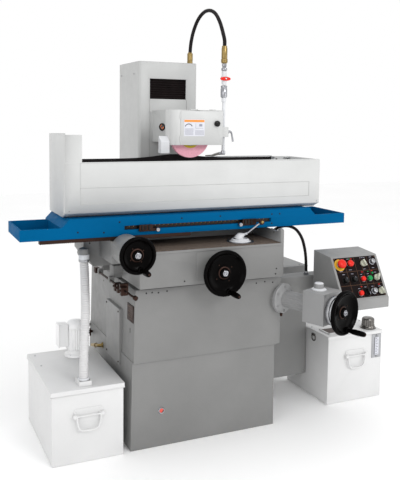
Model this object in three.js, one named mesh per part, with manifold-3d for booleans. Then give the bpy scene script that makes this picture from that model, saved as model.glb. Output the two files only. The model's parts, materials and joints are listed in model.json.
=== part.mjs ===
// A horizontal-spindle surface grinder: base and column, cross-sliding saddle, long table
// with its splash guard, lifting wheelhead, three handwheels, control console,
// electrical cabinet, coolant tank and hydraulic tank.
// Millimetres, +Z up, the operator stands on the -Y side. The origin is on the floor,
// on the centre line of the column and the grinding wheel.
import * as THREE from 'three';
import { mergeVertices } from 'three/addons/utils/BufferGeometryUtils.js';
import Module from 'manifold-3d';

const wasm = await Module();
wasm.setup();

// ---- driving dimensions -------------------------------------------------
const GAP = 0.3; // between pieces that touch
const SLIDE_GAP = 1; // between pieces that slide past each other

const BASE = { half: 321, front: -350, back: 262, stepZ: 356, top: 642, wall: 25 };
const UPPER = { left: -312, right: 340, front: -358 }; // the wider upper half of the base
const FOOT = { half: 200, back: 400 }; // rear of the base, under the column
const COLUMN = { half: 141, front: 87, back: 365, top: 1552, wall: 18, edge: 14 };
const SLOT = { half: 90, bottom: 780, top: 1480 }; // opening in the column's front wall
const PLATE_TOP = 1388; // top of the wheelhead's slide plate, under the bellows

const SADDLE = { left: -455, right: 325, front: -155, back: -8, bottom: 705, top: 843 };
const APRON = { left: -303, right: 313, front: -400, bottom: 655, shelf: 795, wall: 855 };
const TABLE = { left: -580, right: 530, front: -320, back: -30, bottom: 850, top: 924 };
const TROUGH = { left: -733, right: 683, back: -65, top: 893, wall: 7 };
const GROOVE = { left: -338, right: 308, bottom: 873, top: 889, depth: 12 };
const GUARD = {
  half: 562,
  front: -297,
  back: -29,
  top: 1132,
  leftTop: 1237, // the raised left end
  rearTop: 1040, // low enough to pass under the lowered wheelhead
  highFrom: 470, // right of this the rear is as high as the front
  sheet: 3,
};

const WHEEL = { y: -159, z: 1227, radius: 88, width: 16, bore: 31.75 / 2 };
const COVER = { left: -104, right: 130, front: -210, back: -138, bottom: 1193, top: 1338 };
const HEAD = { half: 76, frontHalf: 35, bottom: 1197, top: 1336, front: -7 };

const ARM = { x: 349, y: -357, z: 550, turn: 20.7 }; // axis of the elevation drive
const CABINET = { left: 346, right: 643, front: -100, back: 150, bottom: 90, top: 616 };
const CONSOLE = { left: 515, right: 750, back: -338, sheet: 4 };
const BEAM = { left: 340 + GAP, right: 742, front: -288, back: -220, bottom: 532, top: 618 };
const COOLANT = { left: -631, right: -353, front: -358, back: 103, top: 284, wall: 4 };
const HYDRAULIC = { left: 649, right: 950, front: -277, back: 70, top: 316, wall: 4 };

const rad = THREE.MathUtils.degToRad;

// ---- materials ----------------------------------------------------------
function paint(color, roughness = 0.5, metalness = 0) {
  return () => new THREE.MeshStandardMaterial({ color, roughness, metalness });
}
const lightGrey = paint(0xd2d3d2, 0.45);
const baseGrey = paint(0x8c8c8a, 0.5);
const tableBlue = paint(0x0a73b4, 0.4);
const tankWhite = paint(0xe9e9e8, 0.4);
const glossBlack = paint(0x0b0a0a, 0.15);
const blackRubber = paint(0x191513, 0.7);
const steel = paint(0xb9bcc0, 0.3, 0.9);
const rackBrown = paint(0x3c241c, 0.6, 0.4);
const wheelPink = paint(0xdd92a6, 0.95);
const redPlastic = paint(0xe0342b, 0.35);
const greenPlastic = paint(0x1f9a48, 0.35);
const creamPlastic = paint(0xcfd0bd, 0.4);
const whitePlastic = paint(0xeeeeee, 0.4);

// ---- solids -------------------------------------------------------------
function toSolid(geometry) {
  const bare = geometry.index ? geometry.clone() : geometry;
  bare.deleteAttribute('normal');
  bare.deleteAttribute('uv');
  const merged = mergeVertices(bare, 1e-3);
  const mesh = new wasm.Mesh({
    numProp: 3,
    vertProperties: new Float32Array(merged.attributes.position.array),
    triVerts: new Uint32Array(merged.index.array),
  });
  return new wasm.Manifold(mesh);
}

function toGeometry(manifold) {
  const mesh = manifold.getMesh();
  const geometry = new THREE.BufferGeometry();
  geometry.setAttribute('position', new THREE.BufferAttribute(mesh.vertProperties, 3));
  geometry.setIndex(new THREE.BufferAttribute(mesh.triVerts, 1));
  return geometry;
}

function join(...geometries) {
  return toGeometry(geometries.map(toSolid).reduce((a, b) => a.add(b)));
}

function cut(body, ...tools) {
  return toGeometry(tools.map(toSolid).reduce((a, b) => a.subtract(b), toSolid(body)));
}

function block(x0, x1, y0, y1, z0, z1) {
  const box = new THREE.BoxGeometry(x1 - x0, y1 - y0, z1 - z0);
  return box.translate((x0 + x1) / 2, (y0 + y1) / 2, (z0 + z1) / 2);
}

// a block whose end at y1 is a different rectangle from its end at y0; each is [x0, x1, z0, z1]
function frustum(y0, y1, near, far) {
  const box = new THREE.BoxGeometry(1, 1, 1);
  const position = box.attributes.position;
  for (let i = 0; i < position.count; i += 1) {
    const [x0, x1, z0, z1] = position.getY(i) < 0 ? near : far;
    const x = position.getX(i) < 0 ? x0 : x1;
    const z = position.getZ(i) < 0 ? z0 : z1;
    position.setXYZ(i, x, position.getY(i) < 0 ? y0 : y1, z);
  }
  return box;
}

function outline(points) {
  return new THREE.Shape(points.map(([a, b]) => new THREE.Vector2(a, b)));
}

function roundedRect(x0, x1, y0, y1, radii) {
  const [a, b, c, d] = radii; // at x0y0, x1y0, x1y1, x0y1
  const shape = new THREE.Shape();
  shape.moveTo(x0 + a, y0);
  shape.lineTo(x1 - b, y0);
  if (b) shape.absarc(x1 - b, y0 + b, b, -Math.PI / 2, 0);
  shape.lineTo(x1, y1 - c);
  if (c) shape.absarc(x1 - c, y1 - c, c, 0, Math.PI / 2);
  shape.lineTo(x0 + d, y1);
  if (d) shape.absarc(x0 + d, y1 - d, d, Math.PI / 2, Math.PI);
  shape.lineTo(x0, y0 + a);
  if (a) shape.absarc(x0 + a, y0 + a, a, Math.PI, Math.PI * 1.5);
  return shape;
}

const flat = { bevelEnabled: false, curveSegments: 6 };

// an outline in x and y, raised from z0 to z1
function raised(shape, z0, z1) {
  return new THREE.ExtrudeGeometry(shape, { ...flat, depth: z1 - z0 }).translate(0, 0, z0);
}

// an outline in x and z, running from y0 to y1
function alongY(shape, y0, y1) {
  const geometry = new THREE.ExtrudeGeometry(shape, { ...flat, depth: y1 - y0 });
  return geometry.rotateX(Math.PI / 2).translate(0, y1, 0);
}

// an outline in y and z, running from x0 to x1
function alongX(shape, x0, x1) {
  const geometry = new THREE.ExtrudeGeometry(shape, { ...flat, depth: x1 - x0 });
  const toYZ = new THREE.Matrix4().set(0, 0, 1, x0, 1, 0, 0, 0, 0, 1, 0, 0, 0, 0, 0, 1);
  return geometry.applyMatrix4(toYZ);
}

const UP = new THREE.Vector3(0, 0, 1);

// turns a shape made along +Z so that it starts at a point and runs in a direction
function aim(geometry, start, direction) {
  const turn = new THREE.Quaternion().setFromUnitVectors(UP, direction.clone().normalize());
  return geometry.applyQuaternion(turn).translate(start.x, start.y, start.z);
}

function vec(x, y, z) {
  return new THREE.Vector3(x, y, z);
}

// a round bar between two points
function bar(radius, from, to, sides = 20, endRadius = radius) {
  const length = to.clone().sub(from).length();
  const geometry = new THREE.CylinderGeometry(endRadius, radius, length, sides);
  geometry.rotateX(Math.PI / 2).translate(0, 0, length / 2);
  return aim(geometry, from, to.clone().sub(from));
}

// a turned piece: the profile is [radius, height] from the axis back to the axis
function turned(profile, start, direction, sides = 24) {
  const points = profile.map(([r, h]) => new THREE.Vector2(r, h));
  const geometry = new THREE.LatheGeometry(points, sides).rotateX(Math.PI / 2);
  return aim(geometry, start, direction);
}

// a hose or pipe of one radius along points
function hose(radius, points, steps, sides = 10) {
  const curve = new THREE.CatmullRomCurve3(points, false, 'centripetal');
  const section = new THREE.Shape();
  section.absarc(0, 0, radius, 0, Math.PI * 2);
  return new THREE.ExtrudeGeometry(section, {
    steps,
    extrudePath: curve,
    curveSegments: sides / 2,
    bevelEnabled: false,
  });
}

const grinder = new THREE.Group();
grinder.name = 'surface_grinder';

function piece(name, geometry, material, parent = grinder) {
  const mesh = new THREE.Mesh(geometry, material());
  mesh.name = name;
  parent.add(mesh);
  return mesh;
}

// ---- base and column ----------------------------------------------------
const WAY = { inner: 150, outer: 215, top: 700, front: -305, back: 80 }; // cross ways on the base

function baseCasting() {
  const { half, front, back, stepZ, top, wall } = BASE;
  const draft = 6;
  const lower = outline([[-half, 0], [half, 0], [half - 2, stepZ], [-half + draft, stepZ]]);
  const upper = outline([
    [UPPER.left, stepZ - 1], [UPPER.right, stepZ - 1],
    [UPPER.right, top], [UPPER.left + draft, top],
  ]);
  const foot = block(-FOOT.half, FOOT.half, back - 1, FOOT.back, 0, top);
  const ways = [-1, 1].map((side) => {
    const [a, b] = [side * WAY.inner, side * WAY.outer].sort((p, q) => p - q);
    return block(a, b, WAY.front, WAY.back, top - 1, WAY.top);
  });
  const boss = bar(56, armPoint(-44), armPoint(-GAP), 24);
  const solid = join(
    alongY(lower, front, back), alongY(upper, UPPER.front, back), foot, boss, ...ways,
  );
  const hollow = outline([
    [-half + wall, -1], [half - wall, -1], [half - wall, stepZ], [UPPER.right - wall, stepZ + 30],
    [UPPER.right - wall, top - wall], [UPPER.left + wall + draft, top - wall],
    [-half + wall + draft, stepZ],
  ]);
  const rear = block(-FOOT.half + wall, FOOT.half - wall, back - 40, FOOT.back - wall, -1, top - wall);
  const screwWell = bar(40, vec(0, SCREW_Y, top - wall - 1), vec(0, SCREW_Y, top + 1), 16);
  const rib = block(-12, 12, front + wall - 1, back - wall + 1, 0, top - wall + 1);
  const shell = cut(solid, alongY(hollow, front + wall, back - wall), rear, screwWell);
  return join(shell, rib);
}

function armPoint(distance, side = 0, up = 0) {
  const c = Math.cos(rad(ARM.turn));
  const s = Math.sin(rad(ARM.turn));
  return vec(ARM.x + distance * s - side * c, ARM.y - distance * c - side * s, ARM.z + up);
}
const armDirection = armPoint(1).sub(armPoint(0));

const SCREW_Y = 318;

function columnCasting() {
  const { half, front, back, top, wall, edge } = COLUMN;
  const bottom = BASE.top + GAP;
  const outer = raised(roundedRect(-half, half, front, back, [edge, edge, 6, 6]), bottom, top);
  const inner = block(-half + wall, half - wall, front + wall, back - wall, bottom - 1, top - wall);
  const slot = block(-SLOT.half, SLOT.half, front - 1, front + wall + 1, SLOT.bottom, SLOT.top);
  return cut(outer, inner, slot);
}

function columnBellows() {
  // folded cover that closes the slot above the wheelhead's slide plate
  const folds = 8;
  const low = PLATE_TOP + GAP;
  const high = SLOT.top - GAP;
  const pitch = (high - low) / folds;
  const profile = [[COLUMN.front + 15, low]];
  for (let i = 0; i < folds; i += 1) {
    profile.push([COLUMN.front + 12, low + i * pitch]);
    profile.push([COLUMN.front + 6, low + (i + 0.5) * pitch]);
  }
  profile.push([COLUMN.front + 12, high], [COLUMN.front + 15, high]);
  const width = SLOT.half - 1;
  return alongX(outline(profile), -width, width);
}

piece('base_casting', baseCasting(), baseGrey);
piece('column', columnCasting(), lightGrey);
piece('column_bellows', columnBellows(), blackRubber);

// ---- elevation drive on the right of the base ---------------------------
const BOX_FROM = 150; // gearbox, along the arm
const BOX_TO = 251;
const BOX_HALF = 60;

function elevationTube() {
  const flange = bar(63, armPoint(0), armPoint(16), 24);
  const tube = bar(36, armPoint(15), armPoint(BOX_FROM - GAP), 16);
  return join(flange, tube);
}

function elevationGearbox() {
  const box = new THREE.BoxGeometry(2 * BOX_HALF, BOX_TO - BOX_FROM, 128);
  box.translate(0, -(BOX_FROM + BOX_TO) / 2, 7);
  box.rotateZ(rad(ARM.turn)).translate(ARM.x, ARM.y, ARM.z);
  const capSeat = (BOX_FROM + BOX_TO) / 2 - 12;
  const cap = turned(
    [[0, 0], [30, 0], [30, 5], [19, 8], [19, 26], [14, 30], [0, 30]],
    armPoint(capSeat, 4, 70), UP, 20,
  );
  return join(box, cap);
}

piece('elevation_tube', elevationTube(), baseGrey);
piece('elevation_gearbox', elevationGearbox(), baseGrey);

// ---- handwheels ---------------------------------------------------------
const LONG_WHEEL = { x: -336, y: -470, z: 801, radius: 71 };
const CROSS_WHEEL = { x: 24, y: -464, z: 705, radius: 92 };
const LIFT_WHEEL = { ...armPoint(309), radius: 90 };
const FRONT = vec(0, -1, 0);

// a dished wheel with a round rim and a hub that reaches back to its bearing
function handwheel(wheel, direction, hubBack) {
  const R = wheel.radius;
  const profile = [
    [0, -hubBack], [17, -hubBack], [17, -14], [R * 0.55, -14], [R - 14, -9], [R - 4, -9],
    [R, -4], [R, 5], [R - 4, 10], [R - 12, 8], [R * 0.72, -4], [R * 0.4, -9],
    [21, -6], [19, 4], [13, 6], [13, 12], [0, 12],
  ];
  return turned(profile, vec(wheel.x, wheel.y, wheel.z), direction, 32);
}

// the turning grip, on a pin near the rim at the lowest point of the wheel
function gripStart(wheel, direction, across) {
  const lean = rad(14);
  const reach = wheel.radius - 15;
  const start = vec(wheel.x, wheel.y, wheel.z - reach * Math.cos(lean));
  return start.addScaledVector(across, reach * Math.sin(lean)).addScaledVector(direction, 9);
}

function grip(wheel, direction, across) {
  const profile = [
    [0, GAP], [8, GAP], [8, 8], [10, 12], [11.5, 40], [10.5, 68], [7, 76], [0, 78],
  ];
  return turned(profile, gripStart(wheel, direction, across), direction, 12);
}

const RIGHT = vec(1, 0, 0);
const armAcross = armPoint(0, -1).sub(armPoint(0));

piece('longitudinal_handwheel', handwheel(LONG_WHEEL, FRONT, 28), glossBlack);
piece('longitudinal_grip', grip(LONG_WHEEL, FRONT, RIGHT), glossBlack);
piece('cross_handwheel', handwheel(CROSS_WHEEL, FRONT, 62), glossBlack);
piece('cross_grip', grip(CROSS_WHEEL, FRONT, RIGHT), glossBlack);
piece('elevation_handwheel', handwheel(LIFT_WHEEL, armDirection, 23.5), glossBlack);
piece('elevation_grip', grip(LIFT_WHEEL, armDirection, armAcross), glossBlack);

function elevationDial() {
  const start = armPoint(BOX_TO + 1);
  const profile = [[0, 0], [50, 0], [50, 4], [60, 6], [60, 22], [54, 27], [54, 33], [0, 33]];
  return turned(profile, start, armDirection, 32);
}
piece('elevation_dial', elevationDial(), steel);

function elevationScrew() {
  const bottom = BASE.top - 22;
  return turned(
    [[0, 0], [30, 0], [30, 14], [15, 18], [15, 860], [0, 860]],
    vec(0, SCREW_Y, bottom), UP, 16,
  );
}
piece('elevation_screw', elevationScrew(), steel);

const DRAIN = { x: -460, y: -180, top: 742 }; // mouth of the elbow over the drain hose

// ---- saddle: slides towards and away from the operator ------------------
function saddleCasting() {
  const { left, right, front, back, bottom, top } = SADDLE;
  const bed = outline([
    [left, bottom + 60], [left + 40, bottom], [right, bottom], [right, top], [left, top],
  ]);
  const lip = block(-338, 320, front - 25, front + 1, APRON.bottom + 2, bottom);
  const lower = block(-338, 320, front, back, APRON.bottom + 2, bottom + 1);
  const wayCuts = [-1, 1].map((side) => {
    const [a, b] = [side * (WAY.inner - 1), side * (WAY.outer + 1)].sort((p, q) => p - q);
    return block(a, b, front - 30, back + 1, APRON.bottom, WAY.top + SLIDE_GAP);
  });
  const core = block(-400, 300, front + 30, back - 25, APRON.bottom, top - 30);
  const tableWays = [[-130, -100], [-70, -40]].map(([a, b]) => block(left, right, a, b, top - 1, top + 5));
  const drainElbow = join(
    bar(20, vec(DRAIN.x, front + 5, DRAIN.top + 24), vec(DRAIN.x, DRAIN.y, DRAIN.top + 24), 16),
    bar(20, vec(DRAIN.x, DRAIN.y, DRAIN.top + 43), vec(DRAIN.x, DRAIN.y, DRAIN.top), 16),
  );
  const solid = join(alongY(bed, front, back), lip, lower, drainElbow, ...tableWays);
  return cut(solid, ...wayCuts, core);
}

function apron() {
  const { left, right, front, bottom, shelf, wall } = APRON;
  const back = SADDLE.front - GAP;
  const lowBack = back - 25;
  const box = join(
    block(left, right, front, lowBack, bottom, shelf),
    block(left, right, lowBack - 1, back, SADDLE.bottom + GAP, shelf),
  );
  const side = alongX(
    outline([[front, bottom], [back, bottom + 60], [back, SADDLE.top - 4], [front + 30, SADDLE.top - 4],
      [front + 24, wall - 2], [front + 8, wall - 2], [front, wall - 10]]),
    right - 1, SADDLE.right,
  );
  const rim = { x: LONG_WHEEL.x, z: LONG_WHEEL.z, radius: 58 };
  const housing = join(
    bar(rim.radius, vec(rim.x, -440, rim.z), vec(rim.x, -324, rim.z), 28),
    block(rim.x - 54, rim.x + 54, -325, back, rim.z - 56, 832),
  );
  const hollow = block(left + 20, right - 20, front + 15, back + 1, bottom - 1, shelf - 15);
  return join(cut(box, hollow), side, housing);
}

piece('saddle_casting', saddleCasting(), baseGrey);
piece('apron', apron(), baseGrey);

// ---- table reversing lever ----------------------------------------------
const LEVER = { x: 165, y: -316, pivot: 803 };

function leverGaiter() {
  const seat = vec(LEVER.x, LEVER.y, APRON.shelf + GAP);
  const shell = turned(
    [[0, 0], [52, 0], [52, 4], [38, 5], [37, 14], [32, 18], [0, 18]],
    seat, UP, 20,
  );
  const mouth = turned([[0, 3], [32, 3], [28, 19], [0, 19]], seat, UP, 16);
  return cut(shell, mouth);
}

function reversingLever() {
  const foot = vec(LEVER.x, LEVER.y, LEVER.pivot);
  const knee = vec(LEVER.x + 22, LEVER.y - 20, 833);
  const tip = vec(LEVER.x + 76, LEVER.y - 43, 881);
  const roller = bar(9, tip.clone().add(vec(0, -6, 0)), tip.clone().add(vec(0, 4, 0)), 16);
  return join(bar(4, foot, knee, 10), bar(4, knee, tip, 10), roller, new THREE.SphereGeometry(4.6, 10, 6)
    .translate(knee.x, knee.y, knee.z));
}

piece('lever_gaiter', leverGaiter(), whitePlastic);
piece('reversing_lever', reversingLever(), whitePlastic);

// ---- table: slides left and right on the saddle -------------------------
function trough(x0, x1) {
  const { back, top, wall } = TROUGH;
  const tray = block(x0, x1, TABLE.front, back, TABLE.bottom, top);
  const inside = block(x0 + wall, x1 - wall, TABLE.front + wall, back - wall, TABLE.bottom + wall, top + 1);
  return cut(tray, inside);
}

function tableCasting() {
  const { left, right, front, back, bottom, top } = TABLE;
  const ramp = 30;
  const body = outline([
    [left, bottom], [right, bottom], [right, TROUGH.top], [right - ramp, top],
    [left + ramp, top], [left, TROUGH.top],
  ]);
  const { depth } = GROOVE;
  const groove = block(GROOVE.left, GROOVE.right, front - 1, front + depth, GROOVE.bottom, GROOVE.top);
  const pocket = (y0, y1) => ([a, b]) => block(a, b, y0, y1, bottom - 1, bottom + 44);
  const halves = [[-500, -40], [-10, 450]];
  const pockets = [...halves.map(pocket(-300, -145)), ...halves.map(pocket(-85, -45))];
  const solid = join(
    alongY(body, front, back), trough(TROUGH.left, left + 6), trough(right - 6, TROUGH.right),
  );
  return cut(solid, groove, ...pockets);
}

piece('table_casting', tableCasting(), tableBlue);
const tableRack = block(-662, -60, TABLE.front + 3, TABLE.front + 24, 836, TABLE.bottom - GAP);
piece('table_rack', tableRack, rackBrown);
piece('magnetic_chuck', block(-245, 205, -238, -88, TABLE.top + GAP, 1004), steel);

function tripDog(from, to, knobX) {
  const face = TABLE.front - SLIDE_GAP;
  const body = block(from, to, face - 10, face, 866, 892);
  const tongue = block(from + 8, to - 8, face - 1, TABLE.front + 10, GROOVE.bottom + 1, GROOVE.top - 1);
  const stem = block(Math.min(knobX, from + 4), Math.max(knobX, to - 4), face - 8, face, 864, 876);
  const knob = bar(8, vec(knobX, face, 870), vec(knobX, face - 15, 870), 14);
  return join(body, tongue, stem, knob);
}
piece('left_trip_dog', tripDog(-282, -226, -206), blackRubber);
piece('right_trip_dog', tripDog(168, 232, 158), blackRubber);

// ---- splash guard: folded sheets standing on the table ------------------
const FLANGE = 40; // the inward bend along the bottom of each long side

function guardFront() {
  const { half, front, top, sheet } = GUARD;
  const low = TABLE.top + GAP;
  const bend = low + 18;
  const panel = outline([
    [front, bend], [front + FLANGE, low], [front + FLANGE + sheet, low], [front + sheet, bend + 2],
    [front + sheet, top], [front, top],
  ]);
  const long = alongX(panel, -half, half);
  const raisedEnd = block(-half, -half + 65, front, front + sheet, top - 1, GUARD.leftTop);
  return join(long, raisedEnd);
}

function guardRear() {
  const { half, back, top, rearTop, sheet } = GUARD;
  const low = TABLE.top + GAP;
  const wall = block(-half, half, back - sheet, back, low, rearTop);
  const raisedEnd = block(-half, -half + 65, back - sheet, back, rearTop - 1, GUARD.leftTop);
  const highPart = block(GUARD.highFrom, half, back - sheet, back, rearTop - 1, top);
  return join(wall, raisedEnd, highPart, guardEnd(half - sheet, half, top, back));
}

function guardEnd(x0, x1, top, back = GUARD.back - GUARD.sheet - GAP) {
  const front = GUARD.front + GUARD.sheet + GAP;
  const low = TABLE.top + GAP;
  const skirt = FLANGE + 1;
  const shape = outline([
    [front + skirt, low], [back, low], [back, top], [front, top], [front, low + 22],
  ]);
  return alongX(shape, x0, x1);
}

piece('splash_guard_front', guardFront(), lightGrey);
piece('splash_guard_rear', guardRear(), lightGrey);
piece('splash_guard_left', guardEnd(-GUARD.half, -GUARD.half + GUARD.sheet, GUARD.leftTop), lightGrey);

// ---- wheelhead: lifts on the column -------------------------------------
function headCasting() {
  const { half, frontHalf, bottom, top, front } = HEAD;
  const slideHalf = SLOT.half - SLIDE_GAP;
  const face = COLUMN.front + 1;
  const plate = block(-slideHalf, slideHalf, face, face + 15, 1000, PLATE_TOP);
  const back = COLUMN.front - SLIDE_GAP;
  const wedge = frustum(front, back, [-frontHalf, frontHalf, bottom, top], [-half, half, bottom, top]);
  // each upper corner is cut flat, from nothing at the column to its full depth in front
  const corners = [-1, 1].map((side) => {
    const seat = vec(side * 45, 35, 1318);
    const outward = vec(side * 0.788, -0.565, 0.246);
    return bar(130, seat, seat.clone().addScaledVector(outward, 120), 24);
  });
  const body = cut(wedge, ...corners);
  const neck = block(-85, 85, COLUMN.front - 2, face + 60, bottom + 4, top - 4);
  const nose = frustum(COVER.back + GAP, front + 1, [-34, 34, 1199, 1264], [-38, 38, bottom, 1290]);
  const barrel = bar(66, vec(0, 140, WHEEL.z + 38), vec(0, 282, WHEEL.z + 38), 24);
  const nut = block(-34, 34, 270, SCREW_Y + 22, WHEEL.z + 8, WHEEL.z + 62);
  const screwHole = bar(16, vec(0, SCREW_Y, WHEEL.z), vec(0, SCREW_Y, WHEEL.z + 80), 24);
  const bore = bar(21, vec(0, COVER.back - 5, WHEEL.z), vec(0, 20, WHEEL.z), 24);
  return cut(join(body, plate, neck, nose, barrel, nut), screwHole, bore);
}

function wheelGuard() {
  const { left, right, front, back, bottom, top } = COVER;
  const wall = 5;
  const door = 12;
  const shell = raised(roundedRect(left, right, front, back, [40, 0, 0, 8]), bottom, top);
  const inside = block(left + 14, right - wall, front + door + wall, back - wall, bottom - 1, top - wall);
  const doorSeat = block(DOOR.left - 1, right + 1, front - 1, front + door, bottom - 1, top + 1);
  const shaftHole = bar(26, vec(0, back - 10, WHEEL.z), vec(0, back + 1, WHEEL.z), 20);
  const accessHole = bar(70, vec(18, front + 5, 1266), vec(18, front + 30, 1266), 28);
  const clampBlock = block(right - 1, right + 34, front + 14, back - 16, 1226, 1268);
  const spout = block(left - 36, left + 2, front + 22, front + 48, 1160, 1206);
  const body = join(cut(shell, inside, doorSeat, shaftHole, accessHole), clampBlock, spout);
  const pipeHole = bar(9, vec(PIPE.x, PIPE.y, 1200), vec(PIPE.x, PIPE.y, 1300), 16);
  return cut(body, pipeHole);
}

const DOOR = { left: -62 };
const PIPE = { x: 148, y: -178 };

function guardDoor() {
  const plate = block(
    DOOR.left, COVER.right, COVER.front, COVER.front + 12 - 2 * GAP, COVER.bottom, COVER.top - 4,
  );
  const knob = bar(12, vec(101, COVER.front + 1, 1282), vec(101, COVER.front - 9, 1282), 16);
  return join(plate, knob);
}

function clampLever() {
  const start = vec(COVER.right + 34 + SLIDE_GAP, PIPE.y, 1246);
  const elbow = vec(start.x + 18, PIPE.y, 1248);
  const tip = vec(elbow.x + 12, PIPE.y - 3, 1204);
  return join(bar(5, start, elbow, 10), bar(5.5, elbow, tip, 10, 4));
}

function grindingWheel() {
  const half = WHEEL.width / 2;
  const ring = bar(WHEEL.radius, vec(0, WHEEL.y - half, WHEEL.z), vec(0, WHEEL.y + half, WHEEL.z), 48);
  const bore = bar(WHEEL.bore, vec(0, WHEEL.y - 30, WHEEL.z), vec(0, WHEEL.y + 30, WHEEL.z), 24);
  return cut(ring, bore);
}

function spindle() {
  const half = WHEEL.width / 2 + GAP;
  const flanges = [-1, 1].map((side) => {
    const near = WHEEL.y + side * half;
    return bar(38, vec(0, near, WHEEL.z), vec(0, near + side * 6, WHEEL.z), 24);
  });
  const shaft = bar(WHEEL.bore - GAP, vec(0, WHEEL.y - 24, WHEEL.z), vec(0, 14, WHEEL.z), 20);
  return join(shaft, ...flanges);
}

// hose tail, valve body, sleeve, pipe and the flat nozzle beside the wheel
function coolantPipe() {
  const at = (z) => vec(PIPE.x, PIPE.y, z);
  const upper = turned(
    [[0, 0], [7, 0], [7, 18], [12, 20], [12, 92], [8, 94], [8, 122], [14, 124], [14, 134], [9, 136],
      [9, 152], [13, 154], [13, 226], [0, 226]],
    at(1384), UP, 16,
  );
  const pipe = bar(5.5, at(1386), at(1158), 12);
  const elbow = bar(8, at(1150), at(1168), 12);
  const nozzle = bar(6, at(1157), vec(96, PIPE.y + 12, 1147), 12, 4);
  return join(upper, pipe, elbow, nozzle);
}

function valveLever() {
  const face = PIPE.y - 13;
  const flange = roundedRect(PIPE.x - 26, PIPE.x + 22, 1464, 1478, [6, 6, 6, 6]);
  return alongY(flange, face - 6, face);
}

piece('head_casting', headCasting(), lightGrey);
piece('wheel_guard', wheelGuard(), lightGrey);
piece('guard_door', guardDoor(), lightGrey);
piece('clamp_lever', clampLever(), steel);
piece('grinding_wheel', grindingWheel(), wheelPink);
piece('spindle', spindle(), steel);
piece('coolant_pipe', coolantPipe(), steel);
piece('valve_lever', valveLever(), redPlastic);

// ---- electrical cabinet and control console -----------------------------
const DOOR_DEPTH = 16; // from the shell's open back to the outside of the door's lock

function cabinetShell() {
  const { left, right, front, back, bottom, top } = CABINET;
  const sheet = 3;
  const shell = block(left, right, front, back - DOOR_DEPTH, bottom, top);
  const inside = block(left + sheet, right - sheet, front + sheet, back, bottom + sheet, top - sheet);
  const bracket = block(BASE.half + 20, left + 1, front + 30, back - 30, 400, 600);
  return join(cut(shell, inside), bracket);
}

piece('electrical_cabinet', cabinetShell(), baseGrey);

function cabinetDoor() {
  const { left, right, back, bottom, top } = CABINET;
  const inner = back - DOOR_DEPTH + SLIDE_GAP;
  const plate = block(left, right, inner, back - 8, bottom, top);
  const lock = block(left + 20, left + 34, back - 9, back, 320, 400);
  return join(plate, lock);
}
piece('cabinet_door', cabinetDoor(), baseGrey);

const PANEL = { topY: -462, topZ: 731, bottomY: -553, bottomZ: 568 };
const CONSOLE_BOTTOM = 522;

function consoleBox() {
  const { left, right, back, sheet } = CONSOLE;
  const skin = outline([
    [PANEL.bottomY - 4, CONSOLE_BOTTOM], [back, CONSOLE_BOTTOM], [back, 742],
    [PANEL.topY, PANEL.topZ], [PANEL.bottomY, PANEL.bottomZ], [PANEL.bottomY - 4, PANEL.bottomZ - 4],
  ]);
  const inside = outline([
    [PANEL.bottomY, CONSOLE_BOTTOM - 1], [back - sheet, CONSOLE_BOTTOM - 1], [back - sheet, 737],
    [PANEL.topY + 2, PANEL.topZ - 6], [PANEL.bottomY + 6, PANEL.bottomZ - 2],
  ]);
  const shell = cut(alongX(skin, left, right), alongX(inside, left + sheet, right - sheet));
  const beam = block(BEAM.left, BEAM.right, BEAM.front, BEAM.back, BEAM.bottom, BEAM.top);
  const hollow = block(
    BEAM.left + 8, BEAM.right + 1, BEAM.front + 6, BEAM.back - 6, BEAM.bottom + 6, BEAM.top - 6,
  );
  const bracket = block(left + 60, right - 60, back - 1, BEAM.front + 1, BEAM.bottom + 10, BEAM.top - 10);
  return join(shell, cut(beam, hollow), bracket);
}
piece('console_box', consoleBox(), baseGrey);

// The controls stand on the sloping face. Columns run from the face's left edge and rows
// down from its top edge, in millimetres on the face.
const panelDown = vec(0, PANEL.bottomY - PANEL.topY, PANEL.bottomZ - PANEL.topZ).normalize();
const panelOut = vec(0, panelDown.z, -panelDown.y);

function onPanel(across, down, out = 0) {
  const corner = vec(CONSOLE.left, PANEL.topY, PANEL.topZ);
  return corner.addScaledVector(RIGHT, across).addScaledVector(panelDown, down)
    .addScaledVector(panelOut, out);
}

const PRESS = 5.5; // how far a button's head stands off the face, so that it can be pressed

function mushroom(across, down, radius, height) {
  const profile = [[0, 0], [radius * 0.6, 0], [radius * 0.6, height * 0.4], [radius, height * 0.5],
    [radius, height * 0.8], [radius * 0.6, height], [0, height]];
  return turned(profile, onPanel(across, down, PRESS), panelOut, 16);
}

function roundButton(across, down, radius = 10, height = 10) {
  return turned(
    [[0, 0], [radius, 0], [radius, height - 2], [radius - 2, height], [0, height]],
    onPanel(across, down, PRESS), panelOut, 14,
  );
}

// a round skirt with a raised handle across it
function selector(across, down) {
  const handle = new THREE.BoxGeometry(7, 27, 15);
  handle.translate(0, 0, 13.5);
  const skirt = new THREE.CylinderGeometry(12, 13, 8, 14);
  skirt.rotateX(Math.PI / 2).translate(0, 0, 4);
  return aim(join(skirt, handle), onPanel(across, down, 1), panelOut);
}

function dialKnob(across, down, radius = 12) {
  return turned(
    [[0, 0], [radius, 0], [radius, 4], [radius - 2, 5], [radius - 3, 18], [0, 18]],
    onPanel(across, down, 1), panelOut, 14,
  );
}

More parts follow.
